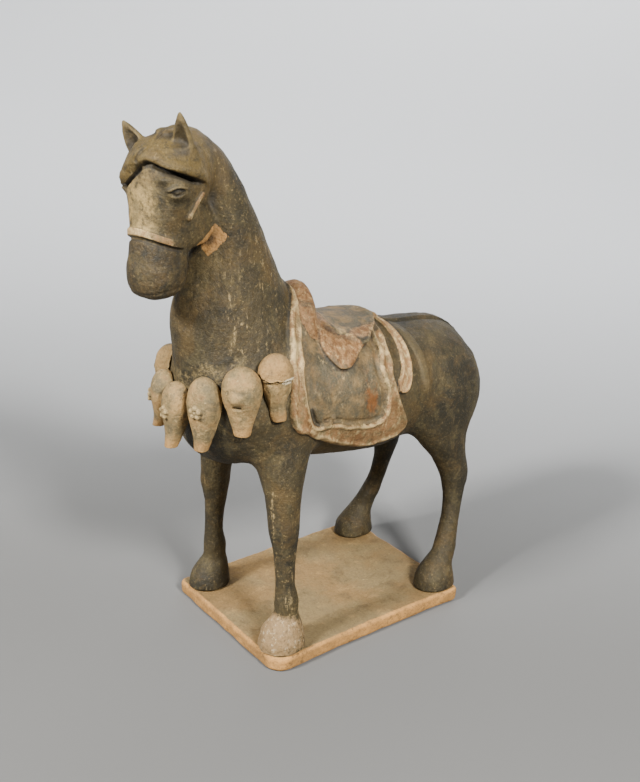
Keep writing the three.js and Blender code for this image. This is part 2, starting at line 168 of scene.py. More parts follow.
# Pommel, an upright arch raked so that its feet lie forward: place, middle, half width, half depth
POMMEL_TOP = 217
POMMEL_RAKE = 0.42
POMMEL = (
    (-28, 180, 17, 26),
    (-25, 177, 24, 36),
    (-19, 176, 28.5, 40),
    (-14, 176, 29.5, 39),
    (-10, 176, 29, 33),
    (-4, 177, 26, 22),
)

# Harness in the side view: place along the back and height of each corner
BLANKET = (
    (-20, 238), (-29, 220), (-39, 207), (-46, 189), (-52, 168), (-54.5, 151), (-50, 142), (-40, 136),
    (-20, 124), (2, 115), (20, 114.5), (31, 119), (34.5, 127), (29, 138), (23, 157), (27, 176),
    (31, 200), (20, 236),
)
BLANKET_FIELD = (
    (-25, 240), (-30, 208), (-37, 188), (-42.5, 168), (-41, 150), (-36, 142.5), (-27, 142), (-10, 137),
    (9, 135), (15, 148), (14, 166), (18, 180), (20, 240),
)
SADDLE = (
    (-8, 230), (-19, 195), (-23, 185), (-21, 177), (-16, 171.5), (-9, 171), (-3, 174), (5, 179),
    (20, 184), (31, 187), (36, 192), (34, 230),
)
LOBE = (
    (40, 188), (43, 180), (42.5, 170), (40, 160), (36.5, 151), (31, 147), (25.5, 149), (25.6, 154.5),
    (30.4, 161), (34.4, 171), (36.4, 181), (37, 188),
)
RIBBON = ((47, 178), (54, 177), (55, 164), (54, 148), (50.5, 142), (47, 148), (47.5, 163))
SEAT_RIM = (
    (-12, 194), (-7.6, 191), (-4.8, 189), (1.7, 186), (5.5, 184), (8.8, 182.5), (18, 181.5),
    (27, 183.5), (37, 184),
)
CORNER_HOOK = ((-38, 153), (-36, 146), (-32, 142.5), (-27.5, 142), (-25, 145))
BLANKET_THICK = 1.6
BORDER_THICK = 1.0  # above the blanket
SADDLE_THICK = 4.0
LOBE_THICK = 2.4
RIBBON_THICK = 1.3
CRUPPER_HALF_WIDTH = 4.5
CRUPPER_START = 34

# The forelock. Its parting runs down the brow, in places left of the head's middle and in height
PARTING_LINE = ((-2, 314), (0.5, 306.5), (-3, 299.5))
PARTING = -3  # left of the head's middle
# Its lower edge on either side: degrees round the head from the parting, and height
LEFT_EDGE = ((0, 300.5), (30, 298.6), (64, 294), (97, 288), (112, 283.5), (150, 276))
RIGHT_EDGE = ((0, 300.5), (30, 296), (64, 289), (97, 285), (112, 282), (150, 276))
HAIR_MIDDLE = 19  # the degrees are counted about this place forward of the poll
HAIR_THICK = 2.4
HAIR_GAP_BACK = 20  # the gap below the edge ends this far forward of the poll
LOCK = ((-3, 35.3, 300), (-16, 35, 288.8), 4.2, 3.3)  # root, tip and their radii
LOCK_HALF_WIDTH = 3.6

# The head, in places left of its middle, forward of the poll and in height. Balls have a centre
# and radii
CHEEK = ((12, 11, 263), (5.4, 11, 11.5))
EYEBALL = ((18.4, 29.5, 285.5), (4.8, 6.8, 5.2))
BROW = ((14.6, 32.5, 291), (4.4, 6, 2.4))
# NOSE_RIDGE_HIGHLIGHT: a painted highlight along the nose's ridge
NOSE_RIDGE_HIGHLIGHT = ((-4, 40, 272), (3.5, 9, 10))
EYE = (19.5, 32.3, 284.8)
EYE_HALF_LENGTH = 3.4
EYE_HALF_HEIGHT = 1.9
MOUTH_SLIT = ((15.2, 36.5, 233.8), (15, 34.8, 229.8), 1.3, 0.9)  # ends and their radii
MOUTH_UP = 229.6
NOSEBAND_UP = 262.3
CHEEK_STRAP = ((15.5, 281), (18.5, 277.5), (23.5, 269.5))  # forward of the poll and height
CHEEK_LINE = ((16, 276), (9, 273), (5, 266), (4, 260))
LEFT_EAR = ((12.5, 18.5, 296.5), (16, 25, 324))  # base and tip
RIGHT_EAR = ((-17.5, 18.5, 295), (-28.5, 23.5, 315.6))
EAR_FACING = (0.35, 1, 0)
EAR_RADIUS = 6.6
EAR_FLATNESS = 0.62

# Spots on the horse: centre and radii
THROAT_HOLLOW = ((12, -91.5, 247.5), (5, 6, 6.5))
THROAT_SHADE = ((12, -91.5, 246), (5, 6, 5))
HOOF_LUMP = ((44, -60.5, 0), (14, 15, 20))
CRUSTED_HOOF = ((44, -62, 6), (16, 17, 17))
SMEAR = ((45, 4, 152), (14, 6.5, 13))
CHIPS = (((34, 112, 158), (2, 3, 4)), ((33, 38, 121), (3, 3, 3)), ((12.5, -82, 314), (4, 4, 3)))
COLLAR_SPOT = (13, 13, 8)

# The bare patch at the throat: its middle, the ways it runs and its half sizes
PATCH_MIDDLE = (12.5, -83, 252.5)
PATCH_LONG_WAY = (0.54, 0.51, 0.66)
PATCH_SHORT_WAY = (0.3, 0.6, -0.74)
PATCH_HALF = (8, 5.4)

# Pendants from the right shoulder round the chest to the left one: place on the chest, height of
# the top and of the tip, half width, and the degrees it faces to the left of straight ahead. Its
# kick bends the tip outwards and its lean bends it towards the horse's left, both as shares of
# its half width
PENDANT_COLUMNS = ("at", "top", "tip", "wide", "facing", "kick", "lean", "kind")
PENDANTS = [dict(zip(PENDANT_COLUMNS, row)) for row in (
    ((-43.5, -66), 186, 149, 10.5, -80, 0.2, 0, "dome"),
    ((-33.5, -87.5), 180, 143, 10.5, -54, 0.3, -0.2, "knob"),
    ((-16.5, -101), 172, 136, 10, -32, 0.5, -0.35, "rosette"),
    ((2.5, -103.5), 171, 131, 10, -2, 0.4, -0.2, "rosette"),
    ((22.5, -96.5), 178.5, 134.5, 10.5, 22, 0.2, -0.2, "rosette"),
    ((39, -82), 186.5, 146.5, 11.5, 44, 0.15, 0, "knob"),
    ((43.5, -62.5), 191.8, 152, 10.4, 74, 0.1, 0.1, "dome"),
)]

# A pendant from top to tip: share of its length, stand-out, half width, half depth
TASSEL = (
    (0, -0.1, 0.25, 0.2),
    (0.06, -0.1, 0.6, 0.5),
    (0.16, -0.05, 0.86, 0.72),
    (0.32, 0, 1, 0.84),
    (0.48, 0, 0.96, 0.8),
    (0.66, 0, 0.76, 0.66),
    (0.84, 0, 0.55, 0.5),
    (1, 0, 0.42, 0.38),
)
DOME_SHARE = 0.32  # a pendant's top is a dome down to here
CRACK_SHARE = 0.37  # and where the broken ones are cracked across
LUTING_GAP = 0.3
PETALS = 5
PETAL_RADII = (1.75, 1.75, 1.6)
HEART_RADII = (1.2, 1.2, 1.3)
ROSETTE_RADIUS = 2.7

# Slab: the radius of its worn corner and of the other three, how far its left side dips, and
# the rounding of its edges
WORN_CORNER = 13
CUT_CORNER = 5
SIDE_DIP = 2
EDGE_ROUNDING = 2.6


def srgb(red, green, blue):
    """A colour given by display values from 0 to 255, made linear."""
    return tuple(((c / 255 + 0.055) / 1.055) ** 2.4 for c in (red, green, blue)) + (1.0,)


OLIVE = srgb(63, 53, 30)
OLIVE_DARK = srgb(37, 33, 20)
OLIVE_GREY = srgb(72, 63, 38)
OCHRE = srgb(90, 70, 36)
BUFF = srgb(162, 130, 80)
BUFF_GREY = srgb(118, 102, 68)
CREAM = srgb(196, 168, 116)
WHITE = srgb(214, 196, 160)
PINK = srgb(146, 109, 68)
# HEAD_TAN_AND_HIGHLIGHT: the face's tan paint, and with it the painted highlight on the face's front
HEAD_TAN_AND_HIGHLIGHT = srgb(164, 137, 84)
FIELD_BROWN = srgb(140, 112, 70)
BORDER_BROWN = srgb(104, 70, 36)
RUST = srgb(118, 70, 26)
BARE = srgb(158, 116, 64)
SLATE = srgb(84, 76, 56)
# SOOT_AND_SHADE: dark specks of the grain, and also the painted shade laid in hollows and gaps
SOOT_AND_SHADE = srgb(38, 34, 26)
DUST = srgb(122, 104, 66)
SLAB_TOP = srgb(124, 97, 57)
SLAB_EDGE = srgb(192, 140, 76)
CRUST = srgb(156, 125, 84)
HAIR_TAN = srgb(92, 74, 34)
SLAB_DARK = srgb(84, 68, 42)
# The floor's near colour is painted shade, its far colour painted light
FLOOR_NEAR_SHADED = srgb(103, 102, 99)
FLOOR_FAR_LIT = srgb(236, 238, 240)

# Stage, in metres. The floor curves up into a backdrop from the sweep's start
FLOOR_HALF = 3.0
SWEEP_START = 0.55
SWEEP_RADIUS = 1.2
SWEEP_STEPS = 24
# The floor's gradient is painted light: shade near the camera and to the left, brighter far behind
FLOOR_SHADES = (-0.1, 1.1)  # how far behind the horse its near and its far colour are full
FLOOR_SLANT = 0.2  # how much further the colours come towards the right
WORLD_STRENGTH = 0.005

# Lights: name, place, side length, watts, where it points, and its spread in degrees
BODY_MIDDLE = (0, 0, 0.15)
LIGHTS = (
    ("key", (0.01, -1.35, 1.22), 0.32, 62, BODY_MIDDLE, 180),
    ("fill", (1.35, -0.14, 1.19), 0.32, 60, BODY_MIDDLE, 180),
    ("backdrop", (-0.6, 1.2, 1.9), 1.0, 23, (-1.7, 1.9, 0.9), 100),
)

CAMERA_AZIMUTH = math.radians(54.1)
CAMERA_PITCH = math.radians(22.1)
CAMERA_ROLL = math.radians(0.3)
CAMERA_PLACE = Vector((0.523, -0.378, 0.413))
IMAGE_LONG_SIDE = 782
FOCAL_PIXELS = 1100
SENSOR = 36.0


# Fields

def hermite(knots, values, t):
    """A smooth curve through the values, with each slope taken from the two neighbours."""
    ahead = np.minimum(np.arange(len(knots)) + 1, len(knots) - 1)
    behind = np.maximum(np.arange(len(knots)) - 1, 0)
    slopes = (values[ahead] - values[behind]) / (knots[ahead] - knots[behind])
    i = np.clip(np.searchsorted(knots, t) - 1, 0, len(knots) - 2)
    span = knots[i + 1] - knots[i]
    s = (t - knots[i]) / span
    return ((2 * s**3 - 3 * s**2 + 1) * values[i] + (s**3 - 2 * s**2 + s) * span * slopes[i]
            + (3 * s**2 - 2 * s**3) * values[i + 1] + (s**3 - s**2) * span * slopes[i + 1])


class Wander:
    """Smooth noise between -1 and 1 from a repeating block of random values."""

    SIZE = 32

    def __init__(self, seed):
        self.block = np.random.default_rng(seed).uniform(-1, 1, (self.SIZE,) * 3)

    def __call__(self, p, scale):
        """The noise at points, with features about scale grid squares across."""
        q = p / scale
        cell = np.floor(q).astype(int)
        f = q - cell
        f = f * f * (3 - 2 * f)
        total = 0
        for steps in CORNERS:
            weight = 1
            for axis, step in enumerate(steps):
                weight = weight * (f[axis] if step else 1 - f[axis])
            index = [(cell[axis] + step) % self.SIZE for axis, step in enumerate(steps)]
            total = total + weight * self.block[tuple(index)]
        return total


wander = Wander(11)


class Loft:
    """Oval sections strung along a line. Columns: place, middle, half width, half depth, boxiness,
    sideways shift."""

    SAMPLES_PER_UNIT = 4
    FEWEST_SAMPLES = 200

    def __init__(self, stations):
        rows = np.array(stations, float)
        knots = rows[:, 0]
        length = knots[-1] - knots[0]
        count = int(length * max(self.SAMPLES_PER_UNIT, self.FEWEST_SAMPLES / length)) + 2
        self.fine = np.linspace(knots[0], knots[-1], count)
        curves = [hermite(knots, rows[:, i], self.fine) for i in range(1, rows.shape[1])]
        self.middle, self.wide, self.deep = curves[:3]
        self.square = curves[3] if len(curves) > 3 else None
        self.shift = curves[4] if len(curves) > 4 else None
        self.slopes = [np.gradient(c, self.fine) for c in curves[:3]]

    def read(self, curve, t):
        return np.interp(t, self.fine, curve)

    def __call__(self, t, across, along):
        """Distance for a place t along the line, and the two places in the section there."""
        inside = np.clip(t, self.fine[0], self.fine[-1])
        wide = np.maximum(self.read(self.wide, inside), 0.2)
        deep = np.maximum(self.read(self.deep, inside), 0.2)
        u = across if self.shift is None else across - self.read(self.shift, inside)
        v = along - self.read(self.middle, inside)
        a = np.abs(u) / wide
        b = np.abs(v) / deep
        if self.square is None:
            r = np.sqrt(a * a + b * b) + 1e-6
            lean_a = a / r
            lean_b = b / r
        else:
            n = self.read(self.square, inside)
            r = (a**n + b**n) ** (1 / n) + 1e-6
            lean_a = (a / r) ** (n - 1)
            lean_b = (b / r) ** (n - 1)
        middle_slope, wide_slope, deep_slope = (self.read(s, inside) for s in self.slopes)
        near_a = np.minimum(a, 1.2)
        near_b = np.minimum(b, 1.2)
        along_line = lean_a * near_a * wide_slope / wide + lean_b * near_b * deep_slope / deep
        along_line = along_line + lean_b * np.sign(v) * middle_slope / deep
        along_line = np.clip(along_line, -1.5 / np.minimum(wide, deep), 1.5 / np.minimum(wide, deep))
        steep = np.sqrt((lean_a / wide) ** 2 + (lean_b / deep) ** 2 + along_line**2)
        d = (r - 1) / np.maximum(steep, 1e-4)
        over = np.abs(t - inside)
        return np.where(over > 0, np.hypot(np.maximum(d, 0), over), d)


def join(a, b, soft):
    """The union of two fields, filleted where they meet."""
    h = np.maximum(soft - np.abs(a - b), 0)
    return np.minimum(a, b) - h * h / (4 * soft)


def meet(a, b, soft):
    """What two fields share, with its edge rounded."""
    return -join(-a, -b, soft)


def rise(d, width):
    """0 outside, 1 inside, passing over width at d = 0."""
    s = np.clip(0.5 - d / width, 0, 1)
    return s * s * (3 - 2 * s)


def bead(d, width):
    return np.exp(-((d / width) ** 2))


def ball(p, centre, radii):
    """Distance to an oval ball."""
    q = [(p[i] - centre[i]) / radii[i] for i in range(3)]
    r = np.sqrt(q[0] ** 2 + q[1] ** 2 + q[2] ** 2) + 1e-6
    steep = np.sqrt(sum((q[i] / radii[i]) ** 2 for i in range(3))) / r
    return (r - 1) / np.maximum(steep, 1e-3)


def rod(p, start, end, thick, thin):
    """Distance to a round-ended rod that tapers from thick to thin."""
    start = np.array(start, float)
    run = np.array(end, float) - start
    share = sum((p[i] - start[i]) * run[i] for i in range(3)) / (run @ run)
    share = np.clip(share, 0, 1)
    away = np.sqrt(sum((p[i] - start[i] - share * run[i]) ** 2 for i in range(3)))
    return away - (thick + (thin - thick) * share)


def path_distance(a, b, points):
    """Distance in a plane to an open run of straight lines."""
    best = np.full(np.shape(a), 1e3)
    for (a0, b0), (a1, b1) in zip(points, points[1:]):
        run = (a1 - a0, b1 - b0)
        share = np.clip(((a - a0) * run[0] + (b - b0) * run[1]) / (run[0] ** 2 + run[1] ** 2), 0, 1)
        best = np.minimum(best, np.hypot(a - a0 - share * run[0], b - b0 - share * run[1]))
    return best


class Outline:
    """Distance to a closed outline, negative inside, looked up in a table made once."""

    STEP = 0.75
    MARGIN = 24

    def __init__(self, corners):
        points = self.rounded(np.array(corners, float))
        self.low = points.min(0) - self.MARGIN
        size = ((points.max(0) + self.MARGIN - self.low) / self.STEP).astype(int) + 1
        a = self.low[0] + self.STEP * np.arange(size[0])[:, None] + np.zeros(size)
        b = self.low[1] + self.STEP * np.arange(size[1])[None, :] + np.zeros(size)
        loop = [tuple(p) for p in points] + [tuple(points[0])]
        away = path_distance(a, b, loop)
        inside = np.zeros(size, bool)
        for (a0, b0), (a1, b1) in zip(loop, loop[1:]):
            if b0 != b1:
                crosses = ((b0 > b) != (b1 > b)) & (a < a0 + (a1 - a0) * (b - b0) / (b1 - b0))
                inside ^= crosses
        self.table = np.where(inside, -away, away)

    @staticmethod
    def rounded(points, steps=4):
        """A closed smooth curve through the corners."""
        before, after, beyond = (np.roll(points, k, 0) for k in (1, -1, -2))
        pieces = []
        for s in np.arange(steps) / steps:
            pieces.append(0.5 * (2 * points + (after - before) * s
                                 + (2 * before - 5 * points + 4 * after - beyond) * s**2
                                 + (3 * points - before - 3 * after + beyond) * s**3))
        return np.stack(pieces, 1).reshape(-1, 2)

    def __call__(self, a, b):
        fa = np.clip((a - self.low[0]) / self.STEP, 0, self.table.shape[0] - 1.001)
        fb = np.clip((b - self.low[1]) / self.STEP, 0, self.table.shape[1] - 1.001)
        i = fa.astype(int)
        j = fb.astype(int)
        fa = fa - i
        fb = fb - j
        t = self.table
        return ((t[i, j] * (1 - fa) + t[i + 1, j] * fa) * (1 - fb)
                + (t[i, j + 1] * (1 - fa) + t[i + 1, j + 1] * fa) * fb)


barrel = Loft(BARREL)
neck = Loft(NECK)
skull = Loft(HEAD)
fore_leg = Loft(FORE_LEG)
hind_leg = Loft(HIND_LEG)
tail = Loft(TAIL)
pommel = Loft(POMMEL)
tassel = Loft(TASSEL)
blanket = Outline(BLANKET)
blanket_field = Outline(BLANKET_FIELD)
saddle = Outline(SADDLE)
lobe = Outline(LOBE)
ribbon = Outline(RIBBON)


def trunk(p):
    x, y, z = p
    return join(barrel(y, x, z), neck(z, x, y), 10)


def cloth_edges(p):
    """Distances in the side view to the blanket's edge and its field's edge, both a little uneven."""
    sway = 0.6 * wander(p, 7)
    return blanket(p[1], p[2]) + sway, blanket_field(p[1], p[2]) - sway


def harness_height(p):
    """How far the harness stands proud of the trunk."""
    x, y, z = p
    edge, inner = cloth_edges(p)
    uneven = 1 + 0.5 * wander(p + 20, 5)
    height = BLANKET_THICK * rise(edge, 1.6) + BORDER_THICK * rise(np.maximum(edge, -inner), 1.6)
    on_blanket = rise(edge, 2)
    height += on_blanket * uneven * (1.2 * bead(edge + 2.4, 1.5) + 1.5 * bead(inner - 1.9, 1.5))
    height -= on_blanket * bead(inner + 2, 1.5)
    height += 1.6 * rise(path_distance(y, z, CORNER_HOOK) - 1.4, 1.8)
    on_saddle = rise(saddle(y, z), 2.4)
    rolled = 1.6 * bead(saddle(y, z) + 2.2, 1.8) * rise(-y, 6)
    height = np.maximum(height, SADDLE_THICK * on_saddle) + rolled
    rim = path_distance(y, z, SEAT_RIM)
    behind_pommel = rise(-4 - y, 8) * rise(y - 30, 8)
    height += on_saddle * (1.8 * bead(rim, 1.9) - rise(188 - z, 7) * behind_pommel)
    lobe_edge = lobe(y, z)
    lobe_thick = LOBE_THICK * (0.7 + 0.4 * bead(lobe_edge + 1.5, 1.2))
    height = np.maximum(height, lobe_thick * rise(lobe_edge, 2.0))
    height = np.maximum(height, RIBBON_THICK * rise(ribbon(y, z) + 0.8, 2.4))
    top = rise(150 - z, 20) * rise(CRUPPER_START - y, 4)
    strap = rise(np.abs(x) - CRUPPER_HALF_WIDTH, 2)
    strap = strap - 0.5 * bead(np.abs(x) - CRUPPER_HALF_WIDTH - 1.4, 1.1)
    return height + top * (1 - on_saddle) * RIBBON_THICK * strap


def near(p, low, high):
    """Which points lie in a box."""
    inside = np.ones(len(p[0]), bool)
    for i in range(3):
        inside &= (p[i] > low[i]) & (p[i] < high[i])
    return inside


def add(total, p, low, high, field, soft):
    """Joins a field to the total at the points that lie in its box."""
    where = np.nonzero(near(p, low, high))[0]
    if len(where):
        total[where] = join(total[where], field(p[:, where]), soft)


def pommel_field(p):
    x, y, z = p
    return pommel(y + POMMEL_RAKE * (POMMEL_TOP - z), x, z)


def to_head(p):
    """A point as left of the head's middle, forward of the poll and height."""
    x, y, z = p
    y = y - POLL_Y
    left = x * math.cos(HEAD_TURN) + y * math.sin(HEAD_TURN)
    forward = x * math.sin(HEAD_TURN) - y * math.cos(HEAD_TURN)
    return np.array([left, forward, z])


def eye_oval(side, forward, up):
    """Distance from an eye's middle, 1 at its rim, and height above its middle line."""
    along = (forward - EYE[1]) * 0.8 - (side - EYE[0]) * 0.6
    high = up - EYE[2] + 0.1 * along
    return np.hypot(along / EYE_HALF_LENGTH, high / EYE_HALF_HEIGHT), high


def eye_relief(side, forward, up):
    """Socket, lids and ball of an eye: how far they stand out. side is the distance from the middle."""
    oval, high = eye_oval(side, forward, up)
    lids = 0.7 * bead(oval - 1.5, 0.4) * rise(0.8 - high, 1.2)
    return lids - 1.3 * rise(oval - 1.0, 0.7) + 0.8 * rise(oval - 0.6, 0.9)


def hair_cover(left, forward, up):
    """Height below the forelock's edge, negative under the hair."""
    angle = np.degrees(np.arctan2(np.abs(left - PARTING), forward - HAIR_MIDDLE))
    left_edge, right_edge = (np.interp(angle, *zip(*edge)) for edge in (LEFT_EDGE, RIGHT_EDGE))
    return 0.9 * (np.where(left > PARTING, left_edge, right_edge) - up)


def lock_cover(left, up):
    """Distance in the front view to the right lock's edge, negative under the lock."""
    return path_distance(left, up, (LOCK[0][::2], LOCK[1][::2])) - LOCK_HALF_WIDTH


def hair_gap(left, forward, up, middle, half):
    """The dark gap along the forelock's edge, from 0 to 1."""
    cover = np.minimum(hair_cover(left, forward, up), lock_cover(left, up))
    open_share = 1 - 0.85 * rise(np.abs(left - 2) - 4.5, 4) - 0.35 * rise(left - PARTING, 2)
    return rise(np.abs(cover - middle) - half, 0.9) * rise(HAIR_GAP_BACK - forward, 4) * open_share


def above_noseband(left, forward, up):
    """Height above the noseband's middle line."""
    return up - (NOSEBAND_UP + 0.33 * (forward - 41) - 0.008 * left**2)


def face_field(left, forward, up, whole):
    """The skull with the face, the bridle and the gap under the hair."""
    side = np.abs(left)
    place = (side, forward, up)
    front = rise(12 - forward, 10)
    face = join(whole, ball(place, *CHEEK), 7)
    face = join(face, ball(place, *EYEBALL), 4)
    face = join(face, ball(place, *BROW), 4)
    face = face - front * eye_relief(side, forward, up)
    face = face - 0.6 * front * bead(side, 3.2) * rise(np.abs(up - 271) - 11, 6)
    high = above_noseband(left, forward, up)
    band = 1.3 * rise(np.abs(high) - 2.4, 1.4) - 1.1 * bead(high + 3.7, 1.1)
    face = face - rise(26 - forward, 8) * band
    mouth = bead(up - MOUTH_UP - 0.012 * side**2, 0.8) * rise(8 - forward, 8)
    face = face + 0.45 * front * mouth
    strap = path_distance(forward, up, CHEEK_STRAP)
    face = face - 1.5 * rise(strap - 1.5, 1.6) * rise(8 - side, 6)
    line = path_distance(forward, up, CHEEK_LINE)
    face = face + 0.6 * bead(line, 0.9) * rise(8 - side, 6)
    return face + 3.2 * hair_gap(left, forward, up, 1.0, 0.9)


def hair_field(left, forward, up, whole):
    """The forelock, laid on the skull to either side of its parting."""
    front = rise(12 - forward, 10)
    edge = hair_cover(left, forward, up)
    swell = 1.7 * bead(edge + 3, 3.2) * front * rise(PARTING - left - 1, 5)
    hair = meet(whole - HAIR_THICK * rise(14 - forward, 10) - swell, edge, 1.8)
    hair = join(hair, rod((left, forward, up), *LOCK), 4.0)
    return hair + 1.5 * front * bead(path_distance(left, up, PARTING_LINE), 1.4)


def head_field(p):
    left, forward, up = to_head(p)
    whole = skull(up, left, -forward)
    head = join(face_field(left, forward, up, whole), hair_field(left, forward, up, whole), 0.8)
    for base, tip in (LEFT_EAR, RIGHT_EAR):
        head = join(head, ear_field((left, forward, up), base, tip), 3)
    slit = rod((np.abs(left), forward, up), *MOUTH_SLIT)
    return -join(-head, slit, 0.6)


def ear_shapes(p, base, tip):
    """Distances to an ear's leaf-shaped body and to the hollow in its front."""
    base = np.array(base, float)
    run = np.array(tip, float) - base
    length = math.sqrt(run @ run)
    axis = run / length
    facing = np.array(EAR_FACING)
    facing = facing - (facing @ axis) * axis
    facing = facing / math.sqrt(facing @ facing)
    across = np.cross(axis, facing)
    q = [p[i] - base[i] for i in range(3)]
    s = sum(q[i] * axis[i] for i in range(3)) / length
    u = sum(q[i] * across[i] for i in range(3))
    v = sum(q[i] * facing[i] for i in range(3))
    share = np.clip(s, 0, 1)
    radius = EAR_RADIUS * (1 - share**1.9) ** 0.75 + 0.5
    beyond = np.maximum(np.abs(s - 0.5) - 0.5, 0) * length
    away = np.hypot(u, v / EAR_FLATNESS) - radius
    leaf = np.where(beyond > 0, np.hypot(away, beyond), away)
    hollow = np.hypot(u, (v - 4.2) / 0.9) - radius * 0.74
    return leaf * 0.75, np.maximum(hollow, (0.08 - s) * length) * 0.8


def ear_field(p, base, tip):
    leaf, hollow = ear_shapes(p, base, tip)
    return -join(-leaf, hollow, 0.8)


def leg_field(leg):
    def field(p):
        return leg(p[2], np.abs(p[0]), p[1])
    return field


def horse_field(p):
    """The whole horse."""
    total = np.full(p.shape[1], FAR)
    add(total, p, (-62, -112, 90), (62, 132, 205), lambda q: barrel(q[1], q[0], q[2]), 10)
    add(total, p, (-54, -120, 140), (54, 0, 325), lambda q: neck(q[2], q[0], q[1]), 10)
    cloth = np.nonzero(near(p, (-60, -62, 104), (60, 118, 232)))[0]
    total[cloth] -= harness_height(p[:, cloth])
    add(total, p, (-62, -85, -8), (62, -20, 160), leg_field(fore_leg), 9)
    add(total, p, (-62, 35, -8), (62, 118, 160), leg_field(hind_leg), 9)
    hoof = np.nonzero(near(p, (24, -84, -8), (64, -38, 30)))[0]
    q = p[:, hoof]
    total[hoof] = join(total[hoof], ball(q, *HOOF_LUMP) + 0.7 * wander(q, 5), 3)
    add(total, p, (-40, -55, 165), (40, 12, 226), pommel_field, 2.5)
    add(total, p, (-14, 92, 96), (14, 130, 170), lambda q: tail(q[2], q[0], q[1]), 4)
    add(total, p, (-48, -146, 216), (56, -62, 335), head_field, 4)
    throat = np.nonzero(near(p, (-30, -110, 232), (30, -80, 262)))[0]
    q = p[:, throat]
    hollow = ball((np.abs(q[0] - 1), q[1], q[2]), *THROAT_HOLLOW) + 0.7 * wander(q, 3)
    total[throat] = -join(-total[throat], hollow, 1)
    return total


# Meshing

def in_parts(field, p, size=150000):
    """A field read for many points, some at a time."""
    return np.concatenate([field(p[:, i:i + size]) for i in range(0, p.shape[1], size)])


def slopes(field, p, step=0.3):
    parts = []
    for i in range(3):
        offset = np.zeros((3, 1))
        offset[i] = step
        parts.append((in_parts(field, p + offset) - in_parts(field, p - offset)) / (2 * step))
    return np.array(parts)


def settle(field, p, reach, rounds=2):
    """Moves points onto the skin."""
    for _ in range(rounds):
        slope = slopes(field, p)
        step = in_parts(field, p) / np.maximum((slope**2).sum(0), 0.2)
        p = p - np.clip(step, -reach, reach) * slope
    return p


def even(low, high, pitch):
    """Places for samples at one pitch, a whole number of blocks of them."""
    blocks = math.ceil((high - low) / (pitch * BLOCK))
    return low + pitch * np.arange(blocks * BLOCK + 1)


def spread_out(blocks):
    """A value for each block, repeated over its cells."""
    return blocks.repeat(BLOCK, 0).repeat(BLOCK, 1).repeat(BLOCK, 2)


def sampled(field, places, pitch):
    """The field at the samples, read one by one near the skin, and the cells that lie there."""
    middles = [axis[BLOCK // 2::BLOCK] for axis in places]
    centres = np.stack(np.meshgrid(*middles, indexing="ij")).reshape(3, -1)
    at_centre = in_parts(field, centres).reshape([len(axis) for axis in middles])
    cells = spread_out(np.abs(at_centre) < BLOCK * pitch * 1.35 + 3)
    size = cells.shape
    nodes = np.zeros(np.array(size) + 1, bool)
    for i, j, k in CORNERS:
        nodes[i:i + size[0], j:j + size[1], k:k + size[2]] |= cells
    value = np.full(nodes.shape, FAR, np.float32)
    value[:-1, :-1, :-1] = spread_out(at_centre.astype(np.float32))
    at = np.array(np.nonzero(nodes))
    value[tuple(at)] = in_parts(field, np.array([places[i][at[i]] for i in range(3)]))
    return value, cells


def crossing_points(value, cell):
    """A point for each cell: the middle of the places where its edges cross the skin."""
    corners = np.array([value[cell[0] + i, cell[1] + j, cell[2] + k] for i, j, k in CORNERS])
    total = np.zeros((3, cell.shape[1]))
    crossings = np.zeros(cell.shape[1])
    for m, a in enumerate(CORNERS):
        for n, b in enumerate(CORNERS):
            if n > m and sum(abs(a[i] - b[i]) for i in range(3)) == 1:
                crosses = (corners[m] < 0) != (corners[n] < 0)
                drop = np.where(crosses, corners[m] - corners[n], 1)
                share = np.where(crosses, corners[m] / drop, 0)
                start = np.array(a, float)[:, None]
                run = np.array(b, float)[:, None] - start
                total += (start + run * share) * crosses
                crossings += crosses
    return cell + total / crossings


def quads_between(inside, number):
    """A quad through each sample edge that crosses the skin, joining the points of the four cells
    round it."""
    size = number.shape
    quads = []
    for axis in range(3):
        one, two = (axis + 1) % 3, (axis + 2) % 3
        head = [slice(None)] * 3
        rear = [slice(None)] * 3
        head[axis] = slice(1, None)
        rear[axis] = slice(None, -1)
        start, end = inside[tuple(rear)], inside[tuple(head)]
        edge = np.array(np.nonzero(start != end))
        ok = (edge[one] > 0) & (edge[two] > 0) & (edge[one] < size[one]) & (edge[two] < size[two])
        edge = edge[:, ok]
        around = []
        for back_one, back_two in ((0, 0), (1, 0), (1, 1), (0, 1)):
            c = edge.copy()
            c[one] -= back_one
            c[two] -= back_two
            around.append(number[tuple(c)])
        quad = np.stack(around, 1)
        flip = start[tuple(edge)]
        quad[~flip] = quad[~flip][:, ::-1]
        quads.append(quad)
    quads = np.concatenate(quads)
    return quads[(quads >= 0).all(1)]


def skin(field, places, pitch):
    """Vertices and quads of a closed mesh where the field is zero, from samples at the places given
    for each axis, which are no further apart than the pitch."""
    value, cells = sampled(field, places, pitch)
    inside = value < 0
    size = cells.shape
    count = np.zeros(size, np.int8)
    for i, j, k in CORNERS:
        count += inside[i:i + size[0], j:j + size[1], k:k + size[2]]
    cell = np.array(np.nonzero((count > 0) & (count < len(CORNERS)) & cells))
    number = np.full(size, -1, np.int32)
    number[tuple(cell)] = np.arange(cell.shape[1])
    index = crossing_points(value, cell)
    points = np.array([np.interp(index[i], np.arange(len(places[i])), places[i]) for i in range(3)])
    return settle(field, points, pitch * 0.7), quads_between(inside, number)


def to_metres(p):
    return p.T * SQUARE + GRID_ORIGIN


def to_squares(points):
    return ((points - GRID_ORIGIN) / SQUARE).T


